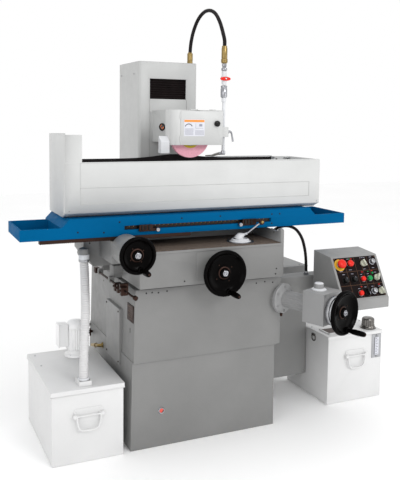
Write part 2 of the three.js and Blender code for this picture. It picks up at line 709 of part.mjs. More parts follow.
piece('emergency_stop', mushroom(33, 37, 19, 26), redPlastic);
piece('stop_button', mushroom(80, 36, 14, 18), redPlastic);
piece('selector_1', selector(152, 38), creamPlastic);
piece('speed_dial_1', dialKnob(198, 34), steel);
piece('feed_knob_left', dialKnob(40, 104, 13), glossBlack);
piece('feed_knob_right', dialKnob(84, 103, 13), glossBlack);
piece('red_button_1', roundButton(128, 105), redPlastic);
piece('green_button', roundButton(162, 105), greenPlastic);
piece('selector_2', selector(201, 103), creamPlastic);
piece('red_button_2', roundButton(98, 164), redPlastic);
piece('selector_3', selector(131, 163), glossBlack);
piece('speed_dial_2', dialKnob(167, 160), steel);
piece('selector_4', selector(204, 162), creamPlastic);

// ---- tanks --------------------------------------------------------------
function openTank({ left, right, front, back, top, wall }) {
  const outer = block(left, right, front, back, 0, top);
  const inner = block(left + wall, right - wall, front + wall, back - wall, wall, top + 1);
  const ears = [-1, 1].map((side) => {
    const x = (left + right) / 2 + side * BAIL.half;
    return block(x - 7, x + 7, front - 9, front + 1, BAIL.pivotZ(top) - 5, BAIL.pivotZ(top) + 5);
  });
  return join(cut(outer, inner), ...ears);
}

const BAIL = { half: 46, drop: 52, wire: 4, pivotZ: (top) => top - 98, y: -14 };

function bail({ left, right, front, top }) {
  const x = (left + right) / 2;
  const z = BAIL.pivotZ(top);
  const y = front + BAIL.y;
  const inner = BAIL.half - 12;
  const points = [
    vec(x - BAIL.half, y, z), vec(x - BAIL.half + 1, y, z - BAIL.drop * 0.45),
    vec(x - inner, y, z - BAIL.drop), vec(x, y, z - BAIL.drop - 6), vec(x + inner, y, z - BAIL.drop),
    vec(x + BAIL.half - 1, y, z - BAIL.drop * 0.45), vec(x + BAIL.half, y, z),
  ];
  return hose(BAIL.wire, points, 16, 8);
}

// a lid whose rim hangs outside the tank's walls
function lid({ left, right, front, back, top }, rim) {
  const out = 4;
  const cap = block(left - out, right + out, front - out, back + out, top - rim, top + 3.5);
  const gap = GAP * 2;
  const seat = block(left - gap, right + gap, front - gap, back + gap, top - rim - 1, top + GAP);
  return cut(cap, seat);
}

function coolantLid() {
  const inlet = block(-520, -474, -338, -282, COOLANT.top + 2, COOLANT.top + 22);
  return join(lid(COOLANT, 14), inlet);
}

function coolantPump() {
  const base = COOLANT.top + 3.5 + GAP;
  const centre = vec(-444, 20, base);
  const motor = turned(
    [[0, 0], [48, 0], [48, 10], [30, 14], [30, 32], [43, 34], [43, 120], [38, 132], [30, 150], [0, 152]],
    centre, UP, 24,
  );
  const terminalBox = block(-520, -482, -6, 46, base + 48, base + 142);
  return join(motor, terminalBox);
}

function hydraulicLid() {
  const hatch = block(668, 756, -250, -170, HYDRAULIC.top + 2, HYDRAULIC.top + 8);
  return join(lid(HYDRAULIC, 12), hatch);
}

function fillerCap() {
  const seat = vec(908, -226, HYDRAULIC.top + 3.5 + GAP);
  const profile = [[0, 0], [36, 0], [36, 9], [31, 12], [31, 16], [28, 18], [28, 44], [22, 50], [0, 51]];
  return turned(profile, seat, UP, 24);
}

piece('coolant_tank', openTank(COOLANT), tankWhite);
piece('coolant_tank_lid', coolantLid(), tankWhite);
piece('coolant_pump', coolantPump(), tankWhite);
piece('coolant_tank_handle', bail(COOLANT), tankWhite);
piece('hydraulic_tank', openTank(HYDRAULIC), tankWhite);
piece('hydraulic_tank_lid', hydraulicLid(), tankWhite);
piece('hydraulic_tank_handle', bail(HYDRAULIC), tankWhite);
piece('filler_cap', fillerCap(), steel);

// ---- hoses --------------------------------------------------------------
const DRAIN_ROUTE = [
  [-497, -310, 306.5], [-497, -310, 340], [-494, -305, 400], [-486, -286, 480], [-475, -256, 560],
  [-467, -220, 640], [-461, -190, 700], [-460, -180, 725], [-460, -180, 741.6],
];
const COOLANT_ROUTE = [
  [118, 118, 1552.4], [118, 118, 1600], [120, 112, 1650], [126, 98, 1700], [134, 66, 1748], [141, 20, 1774],
  [146, -30, 1776], [149, -80, 1757], [150, -124, 1716], [149, -160, 1664],
  [148, -178, 1630], [148, -178, 1610.4],
];
const CONDUIT_ROUTE = [
  [326.2, -240, 806], [342, -240, 808], [366, -242, 820], [396, -246, 834], [432, -250, 838],
  [470, -254, 824], [500, -258, 788], [517, -260, 740], [524, -262, 696], [527, -262, 656],
  [528, -262, 621],
];
const points = (route) => route.map(([x, y, z]) => vec(x, y, z));

piece('drain_hose', hose(18.5, points(DRAIN_ROUTE), 14, 12), whitePlastic);
piece('coolant_hose', hose(8, points(COOLANT_ROUTE), 28, 10), blackRubber);
piece('console_conduit', hose(7, points(CONDUIT_ROUTE), 28, 10), blackRubber);

export default grinder;
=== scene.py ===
"""The looks of a surface grinder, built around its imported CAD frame."""

import json
import math

import bmesh
import bpy
from mathutils import Matrix, Vector

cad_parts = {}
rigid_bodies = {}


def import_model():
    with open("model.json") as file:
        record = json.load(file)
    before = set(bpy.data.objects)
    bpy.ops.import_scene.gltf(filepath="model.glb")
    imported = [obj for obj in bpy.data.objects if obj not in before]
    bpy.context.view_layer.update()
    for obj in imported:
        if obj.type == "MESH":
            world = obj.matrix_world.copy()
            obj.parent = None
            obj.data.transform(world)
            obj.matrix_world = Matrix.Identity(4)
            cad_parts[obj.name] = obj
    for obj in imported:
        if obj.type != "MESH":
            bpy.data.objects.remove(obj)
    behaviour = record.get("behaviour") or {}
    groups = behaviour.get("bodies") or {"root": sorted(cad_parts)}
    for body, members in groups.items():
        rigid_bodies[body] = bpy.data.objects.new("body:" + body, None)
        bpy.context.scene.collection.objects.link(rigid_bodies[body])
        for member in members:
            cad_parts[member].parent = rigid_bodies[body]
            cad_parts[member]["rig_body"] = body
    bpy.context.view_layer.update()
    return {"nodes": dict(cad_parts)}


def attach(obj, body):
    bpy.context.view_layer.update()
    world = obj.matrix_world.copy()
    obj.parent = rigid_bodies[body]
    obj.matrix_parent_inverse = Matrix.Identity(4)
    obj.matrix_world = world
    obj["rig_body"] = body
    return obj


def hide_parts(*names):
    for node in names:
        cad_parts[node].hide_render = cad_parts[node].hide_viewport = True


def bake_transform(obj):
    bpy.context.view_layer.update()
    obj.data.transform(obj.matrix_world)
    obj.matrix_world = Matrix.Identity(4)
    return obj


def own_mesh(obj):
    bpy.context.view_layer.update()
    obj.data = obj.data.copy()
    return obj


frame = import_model()

MM = 0.001
UP = Vector((0, 0, 1))
FRONT = Vector((0, -1, 0))
RIGHT = Vector((1, 0, 0))
LEFT = Vector((-1, 0, 0))
BACK = Vector((0, 1, 0))


# ---- camera -------------------------------------------------------------
def place_camera():
    yaw, pitch, roll = math.radians(24.4), math.radians(5.0), math.radians(0.68)
    place = (-1.157, -2.820, 1.300)
    forward = Vector(
        (math.sin(yaw) * math.cos(pitch), math.cos(yaw) * math.cos(pitch), -math.sin(pitch))
    )
    level_right = forward.cross(UP).normalized()
    level_up = level_right.cross(forward)
    right = level_right * math.cos(roll) + level_up * math.sin(roll)
    up = right.cross(forward)
    rows = [(right[i], up[i], -forward[i], place[i]) for i in range(3)]
    camera = bpy.data.objects.new("camera", bpy.data.cameras.new("camera"))
    camera.matrix_world = Matrix((*rows, (0, 0, 0, 1)))
    camera.data.sensor_width = 36
    camera.data.lens = 51.69
    camera.data.shift_y = -0.126
    bpy.context.scene.collection.objects.link(camera)
    bpy.context.scene.camera = camera


place_camera()


# ---- materials ----------------------------------------------------------
class Nodes:
    """A material's node tree, with its shader."""

    def __init__(self, name, roughness, metallic=0.0, coat=0.0, specular=0.5):
        self.material = bpy.data.materials.new(name)
        self.material.use_nodes = True
        self.tree = self.material.node_tree
        self.shader = self.tree.nodes["Principled BSDF"]
        self.fill(self.shader, {
            "Roughness": roughness, "Metallic": metallic, "Coat Weight": coat,
            "Specular IOR Level": specular,
        })
        self.coords = self.tree.nodes.new("ShaderNodeTexCoord").outputs["Object"]

    def fill(self, node, inputs):
        """Each input takes a constant, or a link when it is given an output."""
        for name, value in inputs.items():
            if isinstance(value, bpy.types.NodeSocket):
                self.tree.links.new(value, node.inputs[name])
            elif value is not None:
                node.inputs[name].default_value = value

    def add(self, kind, output, inputs):
        node = self.tree.nodes.new(kind)
        self.fill(node, inputs)
        return node.outputs[output]

    def noise(self, scale, detail=3.0, stretch=None, roughness=0.55):
        vector = self.coords
        if stretch:
            vector = self.add("ShaderNodeMapping", "Vector", {"Scale": stretch, "Vector": vector})
        return self.add("ShaderNodeTexNoise", "Fac", {
            "Scale": scale, "Detail": detail, "Roughness": roughness, "Vector": vector,
        })

    def cells(self, scale):
        return self.add("ShaderNodeTexVoronoi", "Distance", {"Scale": scale, "Vector": self.coords})

    def ramp(self, factor, stops):
        node = self.tree.nodes.new("ShaderNodeValToRGB")
        elements = node.color_ramp.elements
        while len(elements) < len(stops):
            elements.new(0.5)
        for element, (place, color) in zip(elements, stops):
            element.position = place
            element.color = (*color, 1)
        self.fill(node, {"Fac": factor})
        return node.outputs["Color"]

    def spread(self, factor, low, high):
        return self.add("ShaderNodeMapRange", "Result", {
            "From Min": 0.25, "From Max": 0.75, "To Min": low, "To Max": high, "Value": factor,
        })

    def bump(self, height, distance, strength=1.0, over=None):
        return self.add("ShaderNodeBump", "Normal", {
            "Strength": strength, "Distance": distance, "Height": height, "Normal": over,
        })

    def finish(self, color, roughness=None, normal=None):
        self.fill(self.shader, {"Base Color": color, "Roughness": roughness, "Normal": normal})
        return self.material


def shade(color, factor):
    return tuple(min(1.0, c * factor) for c in color)


def enamel(name, color, roughness, cast=0.0, mottle=0.05, specular=0.4):
    """Sprayed paint: cloudy tone, orange peel, and the lumps of the casting below it."""
    n = Nodes(name, roughness, specular=specular)
    cloud = n.noise(5, 4)
    fine = n.noise(420, 2)
    tone = n.ramp(
        cloud, [(0.3, shade(color, 1 - mottle)), (0.55, color), (0.75, shade(color, 1 + mottle))]
    )
    gloss = n.spread(n.noise(28, 3), roughness - 0.06, roughness + 0.08)
    normal = n.bump(fine, 0.00012, 0.5)
    if cast:
        normal = n.bump(n.noise(55, 4), cast, 0.5, over=normal)
    return n.finish(tone, gloss, normal)


def brushed(name, color, roughness, stretch=(30, 30, 900), wear=0.12):
    n = Nodes(name, roughness, metallic=1.0)
    lines = n.noise(1.0, 2, stretch=stretch)
    tone = n.ramp(n.noise(60, 3), [(0.3, shade(color, 1 - wear)), (0.7, color)])
    gloss = n.spread(lines, roughness - 0.08, roughness + 0.12)
    return n.finish(tone, gloss, n.bump(lines, 0.00005, 0.6))


def moulded(name, color, roughness, specular=0.4):
    n = Nodes(name, roughness, specular=specular)
    tone = n.ramp(n.noise(40, 2), [(0.35, shade(color, 0.93)), (0.7, color)])
    gloss = n.spread(n.noise(90, 3), roughness - 0.04, roughness + 0.08)
    return n.finish(tone, gloss, n.bump(n.noise(700, 2), 0.00006, 0.6))


def lacquer(name, color):
    """Thick gloss paint on the handwheels, with light dust."""
    n = Nodes(name, 0.16, specular=0.03)
    tone = n.ramp(n.noise(120, 4), [(0.4, color), (0.72, shade(color, 1.6))])
    gloss = n.spread(n.noise(60, 4), 0.12, 0.26)
    return n.finish(tone, gloss, n.bump(n.noise(35, 2), 0.0003, 0.25))


def rubber(name, color, roughness=0.75):
    n = Nodes(name, roughness, specular=0.2)
    tone = n.ramp(n.noise(25, 4), [(0.3, shade(color, 0.7)), (0.7, shade(color, 1.5))])
    return n.finish(tone, n.spread(n.noise(60, 2), 0.6, 0.85), n.bump(n.noise(500, 3), 0.0002, 0.6))


def speckled_mat(name):
    n = Nodes(name, 0.85, specular=0.3)
    grains = n.noise(330, 3, roughness=0.7)
    dark, mid, light = (0.04, 0.029, 0.023), (0.10, 0.073, 0.057), (0.25, 0.20, 0.158)
    tone = n.ramp(grains, [(0.38, dark), (0.52, mid), (0.66, light)])
    return n.finish(tone, None, n.bump(grains, 0.0012, 0.8))


def grit(name, color):
    """Vitrified abrasive: grains, open pores and a few dark spots."""
    n = Nodes(name, 0.95)
    grains = n.cells(620)
    tone = n.ramp(
        n.noise(380, 4, roughness=0.75),
        [(0.3, shade(color, 0.72)), (0.5, color), (0.7, shade(color, 1.22))],
    )
    pores = n.bump(n.noise(900, 3), 0.0005, 0.6)
    return n.finish(tone, None, n.bump(grains, 0.0008, 0.7, over=pores))


def sight_glass(name, color):
    n = Nodes(name, 0.05, coat=0.6)
    # Black patches over about half the glass: painted shade inside the glass, over its own colour.
    tone = n.ramp(n.noise(70, 1), [(0.46, (0.01, 0.006, 0.005)), (0.56, color)])
    return n.finish(tone, n.spread(n.noise(30, 1), 0.03, 0.1))


LIGHT = enamel("light_grey_enamel", (0.535, 0.54, 0.535), 0.42)
COLUMN_LIGHT = enamel("column_enamel", (0.455, 0.46, 0.455), 0.42)
LIGHT_CAST = enamel("light_grey_casting", (0.45, 0.455, 0.45), 0.45, cast=0.0004)
GREY = enamel("grey_enamel", (0.235, 0.235, 0.232), 0.44)
GREY_CAST = enamel("grey_casting", (0.198, 0.198, 0.195), 0.48, cast=0.0006, mottle=0.07)
PALE_CAST = enamel("pale_casting", (0.265, 0.266, 0.268), 0.40, cast=0.0005, mottle=0.06)
BLUE = enamel("blue_casting", (0.0, 0.091, 0.230), 0.5, cast=0.0002, specular=0.02)
WHITE = enamel("tank_enamel", (0.65, 0.65, 0.65), 0.42, mottle=0.03)
# The pump's white is a brighter copy of the tank's white: painted light that lifts the shade the
# pump sits in.
PUMP_WHITE_LIT = enamel("pump_enamel_lit", (0.84, 0.84, 0.84), 0.42, mottle=0.03)
GLOSS_BLACK = lacquer("gloss_black", (0.0012, 0.001, 0.001))
BLACK = moulded("black_plastic", (0.006, 0.006, 0.006), 0.28, specular=0.2)
RUBBER = rubber("black_rubber", (0.008, 0.006, 0.0065))
BELLOWS = rubber("bellows_cloth", (0.007, 0.004, 0.004), 0.6)
STEEL = brushed("ground_steel", (0.40, 0.405, 0.42), 0.30)
CHROME = brushed("bright_chrome", (0.40, 0.405, 0.43), 0.16, wear=0.25)
OLD_CHROME = brushed("tarnished_chrome", (0.20, 0.19, 0.18), 0.16, wear=0.4)
DARK_STEEL = brushed("oiled_steel", (0.045, 0.026, 0.021), 0.45, stretch=(400, 40, 40))
BRASS = brushed("brass", (0.30, 0.215, 0.085), 0.3, stretch=(60, 60, 600))
MAT = speckled_mat("speckled_rubber_mat")
GRIT = grit("pink_abrasive", (0.97, 0.46, 0.56))
YELLOW = moulded("blotter_yellow", (0.70, 0.52, 0.03), 0.6)
STOP_YELLOW = moulded("stop_ring_yellow", (0.62, 0.36, 0.02), 0.4)
RED = moulded("red_plastic", (0.66, 0.016, 0.008), 0.28, specular=0.25)
GREEN = moulded("green_plastic", (0.004, 0.24, 0.06), 0.28, specular=0.25)
CREAM = moulded("cream_plastic", (0.46, 0.47, 0.38), 0.35)
PLASTIC = moulded("white_plastic", (0.62, 0.63, 0.65), 0.38)
HOSE_WHITE = moulded("hose_white", (0.60, 0.595, 0.60), 0.45)
PANEL_BLACK = moulded("panel_black", (0.009, 0.006, 0.006), 0.4, specular=0.05)
BRONZE = brushed("bronze_lines", (0.13, 0.07, 0.045), 0.4)
ORANGE = moulded("label_orange", (0.85, 0.27, 0.03), 0.4)
LABEL = moulded("label_white", (0.64, 0.65, 0.70), 0.35)
INK = moulded("label_ink", (0.06, 0.06, 0.08), 0.5)
PALE_INK = moulded("label_pale_ink", (0.30, 0.30, 0.36), 0.5)
AMBER = sight_glass("amber_sight_glass", (0.75, 0.16, 0.03))
RED_GLASS = sight_glass("red_sight_glass", (0.65, 0.06, 0.04))


# ---- shapes: each is (points in millimetres, faces) ----------------------
BOX_FACES = [(0, 1, 3, 2), (4, 6, 7, 5), (0, 4, 5, 1), (2, 3, 7, 6), (0, 2, 6, 4), (1, 5, 7, 3)]


def grid(xs, ys, zs):
    return [(x, y, z) for x in xs for y in ys for z in zs]


def box(x0, x1, y0, y1, z0, z1):
    return grid((x0, x1), (y0, y1), (z0, z1)), BOX_FACES


def prism(outline, axis, a, b):
    """An outline pushed along x, y or z from a to b."""
    place = {
        "x": lambda p, t: (t, p[0], p[1]),
        "y": lambda p, t: (p[0], t, p[1]),
        "z": lambda p, t: (p[0], p[1], t),
    }[axis]
    count = len(outline)
    points = [place(p, t) for t in (a, b) for p in outline]
    sides = [(i, (i + 1) % count, count + (i + 1) % count, count + i) for i in range(count)]
    return points, [tuple(range(count))[::-1], tuple(range(count, 2 * count)), *sides]


def turn_to(direction):
    return UP.rotation_difference(Vector(direction).normalized()).to_matrix()


def placed(shape, matrix, start):
    return [matrix @ Vector(p) + Vector(start) for p in shape[0]], shape[1]


def circle(radius, height, sides):
    angles = [math.tau * i / sides for i in range(sides)]
    return [(radius * math.cos(a), radius * math.sin(a), height) for a in angles]


def lathe(profile, start, direction=UP, sides=40):
    """A turned solid: the profile is (radius, height), and its ends are closed."""
    points, faces, rings = [], [], []
    for radius, height in profile:
        added = circle(radius, height, sides if radius else 1)
        rings.append(range(len(points), len(points) + len(added)))
        points += added
    for low, high in zip(rings, rings[1:]):
        for i in range(sides):
            j = (i + 1) % sides
            a, b = low[i % len(low)], low[j % len(low)]
            corners = tuple(dict.fromkeys((a, b, high[j % len(high)], high[i % len(high)])))
            if len(corners) > 2:
                faces.append(corners)
    if len(rings[0]) > 1:
        faces.append(tuple(rings[0])[::-1])
    if len(rings[-1]) > 1:
        faces.append(tuple(rings[-1]))
    return placed((points, faces), turn_to(direction), start)


def ring(profile, start, direction=UP, sides=40):
    """A turned ring: the profile is a closed loop of (radius, height) around a hole."""
    points = [p for radius, height in profile for p in circle(radius, height, sides)]
    faces = []
    for k in range(len(profile)):
        a, b = k * sides, (k + 1) % len(profile) * sides
        for i in range(sides):
            j = (i + 1) % sides
            faces.append((a + i, a + j, b + j, b + i))
    return placed((points, faces), turn_to(direction), start)


def fluted(radius, depth, count, start, direction, length):
    """A round bar with flutes along it."""
    sides = count * 6
    outline = []
    for i in range(sides):
        angle = math.tau * i / sides
        r = radius - depth * (0.5 - 0.5 * math.cos(angle * count)) ** 2
        outline.append((r * math.cos(angle), r * math.sin(angle)))
    return placed(prism(outline, "z", 0, length), turn_to(direction), start)


def rod(radius, a, b, sides=24):
    a, b = Vector(a), Vector(b)
    return lathe([(radius, 0), (radius, (b - a).length)], a, b - a, sides)


def smooth_path(points, per_span):
    """A centripetal Catmull-Rom curve through the points."""
    points = [Vector(p) for p in points]
    ends = [2 * points[0] - points[1], *points, 2 * points[-1] - points[-2]]
    result = []
    for a, b, c, d in zip(ends, ends[1:], ends[2:], ends[3:]):
        t1 = (b - a).length ** 0.5
        t2 = t1 + (c - b).length ** 0.5
        t3 = t2 + (d - c).length ** 0.5
        for i in range(per_span):
            t = t1 + (t2 - t1) * i / per_span
            p1 = a.lerp(b, t / t1)
            p2 = b.lerp(c, (t - t1) / (t2 - t1))
            p3 = c.lerp(d, (t - t2) / (t3 - t2))
            q1 = p1.lerp(p2, t / t2)
            q2 = p2.lerp(p3, (t - t1) / (t3 - t1))
            result.append(q1.lerp(q2, (t - t1) / (t2 - t1)))
    return [*result, points[-1]]


def tube(path, radius, sides=12, closed=False):
    """A round tube along a path; radius is a number or a function of the distance."""
    path = [Vector(p) for p in path]
    width = radius if callable(radius) else lambda distance: radius
    count = len(path)
    points, normal, distance = [], None, 0.0
    for i, place in enumerate(path):
        before = path[i - 1] if i or closed else path[0]
        after = path[(i + 1) % count] if i + 1 < count or closed else path[-1]
        along = (after - before).normalized()
        if normal is None:
            normal = along.orthogonal()
        normal = (normal - along * normal.dot(along)).normalized()
        side = along.cross(normal)
        if i:
            distance += (place - path[i - 1]).length
        for k in range(sides):
            angle = math.tau * k / sides
            offset = normal * math.cos(angle) + side * math.sin(angle)
            points.append(place + offset * width(distance))
    faces = []
    for i in range(count if closed else count - 1):
        a, b = i * sides, (i + 1) % count * sides
        for k in range(sides):
            m = (k + 1) % sides
            faces.append((a + k, a + m, b + m, b + k))
    if not closed:
        faces.append(tuple(range(sides))[::-1])
        faces.append(tuple(range((count - 1) * sides, count * sides)))
    return points, faces


def rounded(x0, x1, y0, y1, radius, steps=5):
    """A rectangle's outline with round corners."""
    corners = [(x1 - radius, y0 + radius, -90), (x1 - radius, y1 - radius, 0)]
    corners += [(x0 + radius, y1 - radius, 90), (x0 + radius, y0 + radius, 180)]
    result = []
    for cx, cy, start in corners:
        for i in range(steps + 1):
            angle = math.radians(start + 90 * i / steps)
            result.append((cx + radius * math.cos(angle), cy + radius * math.sin(angle)))
    return result


# ---- pieces --------------------------------------------------------------
def soften(piece, bevel, segments, angle):
    mesh = piece.data
    mesh.polygons.foreach_set("use_smooth", [True] * len(mesh.polygons))
    if not bevel:
        mesh.set_sharp_from_angle(angle=math.radians(angle))
        return
    mesh.set_sharp_from_angle(angle=math.radians(60))
    modifier = piece.modifiers.new("rounded_edges", "BEVEL")
    modifier.width = bevel * MM
    modifier.segments = segments
    modifier.limit_method = "ANGLE"
    modifier.angle_limit = math.radians(angle)
    modifier.harden_normals = True
    modifier.use_clamp_overlap = True


def set_up(name, mesh, material, body, bevel, segments, angle, stands_for):
    piece = bpy.data.objects.new(name, mesh)
    bpy.context.scene.collection.objects.link(piece)
    mesh.materials.append(material)
    soften(piece, bevel, segments, angle)
    if body:
        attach(piece, body)
    if stands_for:
        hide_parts(*stands_for)
    return piece


def make(name, material, body, *shapes, bevel=0, segments=2, angle=35, stands_for=()):
    """One piece from shapes in millimetres, riding on a body."""
    points, faces = [], []
    for shape_points, shape_faces in shapes:
        start = len(points)
        points.extend(Vector(p) * MM for p in shape_points)
        faces.extend(tuple(start + i for i in face) for face in shape_faces)
    mesh = bpy.data.meshes.new(name)
    mesh.from_pydata(points, [], faces)
    bm = bmesh.new()
    bm.from_mesh(mesh)
    bmesh.ops.recalc_face_normals(bm, faces=bm.faces)
    bm.to_mesh(mesh)
    bm.free()
    return set_up(name, mesh, material, body, bevel, segments, angle, stands_for)


def dress(node, material, bevel):
    """A CAD node's own shape with rounded edges and a finished surface."""
    source = frame["nodes"][node]
    name = f"{node}_finished"
    bm = bmesh.new()
    bm.from_mesh(source.data)
    bmesh.ops.remove_doubles(bm, verts=bm.verts, dist=1e-5)
    bmesh.ops.dissolve_limit(bm, angle_limit=math.radians(1), verts=bm.verts, edges=bm.edges)
    bmesh.ops.triangulate(bm, faces=[f for f in bm.faces if len(f.verts) > 4])
    mesh = bpy.data.meshes.new(name)
    bm.to_mesh(mesh)
    bm.free()
    return set_up(name, mesh, material, source["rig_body"], bevel, 2, 35, (node,))


def socket_screw(place, direction, radius, height):
    """A cap screw's head with its hexagon sunk in it."""
    profile = [
        (radius, -0.4), (radius, height * 0.8), (radius * 0.88, height), (radius * 0.45, height),
        (radius * 0.4, height * 0.4),
    ]
    return lathe(profile, place, direction, 20)


def screws(name, body, direction, places, radius=4.0, height=3.0, material=STEEL):
    heads = [socket_screw(place, direction, radius, height) for place in places]
    return make(name, material, body, *heads, angle=30)


def holes(name, body, direction, places, radius=3.2):
    """Screw holes as shallow dark rings on a painted face: painted shade for the inside of each
    hole.
    """
    profile = [(radius, -0.3), (radius, 0.25), (radius * 0.7, 0.5), (0, 0.3)]
    make(name, BLACK, body, *[lathe(profile, place, direction, 16) for place in places])


def around(centre, across, up, radius, angles):
    """Points on a circle, with the angles in radians."""
    centre, across, up = Vector(centre), Vector(across), Vector(up)
    return [centre + (across * math.cos(a) + up * math.sin(a)) * radius for a in angles]


def full_turn(count, first=0.0):
    return [math.tau * k / count + first for k in range(count)]


# ---- hoses ---------------------------------------------------------------
# The same routes as the CAD's, in millimetres.
DRAIN_ROUTE = [
    (-497, -310, 306.5), (-497, -310, 340), (-494, -305, 400), (-486, -286, 480), (-475, -256, 560),
    (-467, -220, 640), (-461, -190, 700), (-460, -180, 725), (-460, -180, 741.6),
]
COOLANT_ROUTE = [
    (118, 118, 1552.4), (118, 118, 1600), (120, 112, 1650), (126, 98, 1700), (134, 66, 1748),
    (141, 20, 1774), (146, -30, 1776), (149, -80, 1757), (150, -124, 1716), (149, -160, 1664),
    (148, -178, 1630), (148, -178, 1610.4),
]
CONDUIT_ROUTE = [
    (326.2, -240, 806), (342, -240, 808), (366, -242, 820), (396, -246, 834), (432, -250, 838),
    (470, -254, 824), (500, -258, 788), (517, -260, 740), (524, -262, 696), (527, -262, 656),
    (528, -262, 621),
]


def path_length(points):
    return sum((b - a).length for a, b in zip(points, points[1:]))


def even(path, step):
    """The same path with its points evenly apart."""
    total = path_length(path)
    count = max(2, round(total / step))
    result, index, walked = [path[0]], 0, 0.0
    for i in range(1, count):
        target = total * i / count
        while walked + (path[index + 1] - path[index]).length < target:
            walked += (path[index + 1] - path[index]).length
            index += 1
        span = path[index + 1] - path[index]
        result.append(path[index] + span * ((target - walked) / span.length))
    return [*result, path[-1]]


def hose(name, node, route, radius, material, rib=None, sides=14):
    """A hose between two bodies that move apart; a rib is (depth, pitch)."""
    smooth_step = 4.0
    depth, pitch = rib or (0.0, 4 * smooth_step)
    path = even(smooth_path(route, 24), pitch / 4)

    def width(distance):
        return radius - depth * (0.5 - 0.5 * math.cos(math.tau * distance / pitch))

    piece = make(name, material, None, tube(path, width, sides), angle=60, stands_for=(node,))
    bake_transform(piece)


hose("drain_hose_ribbed", "drain_hose", DRAIN_ROUTE, 18.5, HOSE_WHITE,
     rib=(2.6, 9.0), sides=20)
hose("coolant_hose_rubber", "coolant_hose", COOLANT_ROUTE, 8, RUBBER)
hose("console_conduit_rubber", "console_conduit", CONDUIT_ROUTE, 7, RUBBER,
     rib=(1.0, 4.0))

# ---- stage ---------------------------------------------------------------
LIGHTS = {  # place, target, size in metres, watts
    "key": ((0.9, -4.2, 3.0), (0, 0, 0.8), 1.6, 55),
    "fill": ((-3.4, -3.0, 1.6), (0.2, 0, 0.7), 2.6, 22),
    "side": ((2.7, -2.6, 0.8), (0.5, -0.1, 0.5), 1.6, 12),
    "top": ((0, 0.4, 4.2), (0, 0, 0.8), 3.0, 12),
}


def light(name, place, target, size, watts):
    data = bpy.data.lights.new(name, "AREA")
    data.shape = "DISK"
    data.size = size
    data.energy = watts
    lamp = bpy.data.objects.new(name, data)
    lamp.location = place
    lamp.rotation_euler = (Vector(target) - Vector(place)).to_track_quat("-Z", "Y").to_euler()
    bpy.context.scene.collection.objects.link(lamp)


def build_stage():
    half, height = 9, -0.0004
    corners = [(-half, -half), (half, -half), (half, half), (-half, half)]
    mesh = bpy.data.meshes.new("floor")
    mesh.from_pydata([(x, y, height) for x, y in corners], [], [(0, 1, 2, 3)])
    floor = bpy.data.objects.new("floor", mesh)
    bpy.context.scene.collection.objects.link(floor)
    n = Nodes("pale_floor", 0.7)
    tone = n.ramp(n.noise(0.8, 2), [(0.3, (0.965, 0.965, 0.965)), (0.7, (0.985, 0.985, 0.985))])
    mesh.materials.append(n.finish(tone))
    world = bpy.data.worlds.new("studio")
    world.use_nodes = True
    background = world.node_tree.nodes["Background"]
    background.inputs["Color"].default_value = (1, 1, 1, 1)
    background.inputs["Strength"].default_value = 1.0
    bpy.context.scene.world = world
    bpy.context.scene.view_settings.view_transform = "Standard"
    for name, settings in LIGHTS.items():
        light(name, *settings)


build_stage()

# ---- CAD nodes that keep their own shape: material, and width of the rounded edges
DRESSED = {
    "base_casting": (GREY_CAST, 4),
    "column": (COLUMN_LIGHT, 1.2),
    "elevation_gearbox": (PALE_CAST, 3),
    "electrical_cabinet": (GREY, 2),
    "cabinet_door": (GREY, 2),
    "console_box": (GREY, 2),
    "coolant_tank": (WHITE, 2),
    "coolant_tank_lid": (WHITE, 2.5),
    "hydraulic_tank": (WHITE, 2),
    "hydraulic_tank_lid": (WHITE, 2),
    "elevation_screw": (STEEL, 0.8),
    "saddle_casting": (GREY_CAST, 2.5),
    "apron": (GREY_CAST, 4),
    "table_casting": (BLUE, 1.5),
    "table_rack": (DARK_STEEL, 1),
    "magnetic_chuck": (STEEL, 1.2),
    "splash_guard_front": (LIGHT, 0.7),
    "splash_guard_rear": (LIGHT, 0.7),
    "splash_guard_left": (LIGHT, 0.7),
    "head_casting": (LIGHT_CAST, 3),
    "wheel_guard": (LIGHT, 2),
    "guard_door": (LIGHT, 1.5),
    "spindle": (STEEL, 0.8),
}
for node, (material, bevel) in DRESSED.items():
    dress(node, material, bevel)

wheel_materials = frame["nodes"]["grinding_wheel"].data.materials
wheel_materials.clear()
wheel_materials.append(GRIT)


# ---- base ----------------------------------------------------------------
SIGHT_GLASS = (-193, -350, 146)


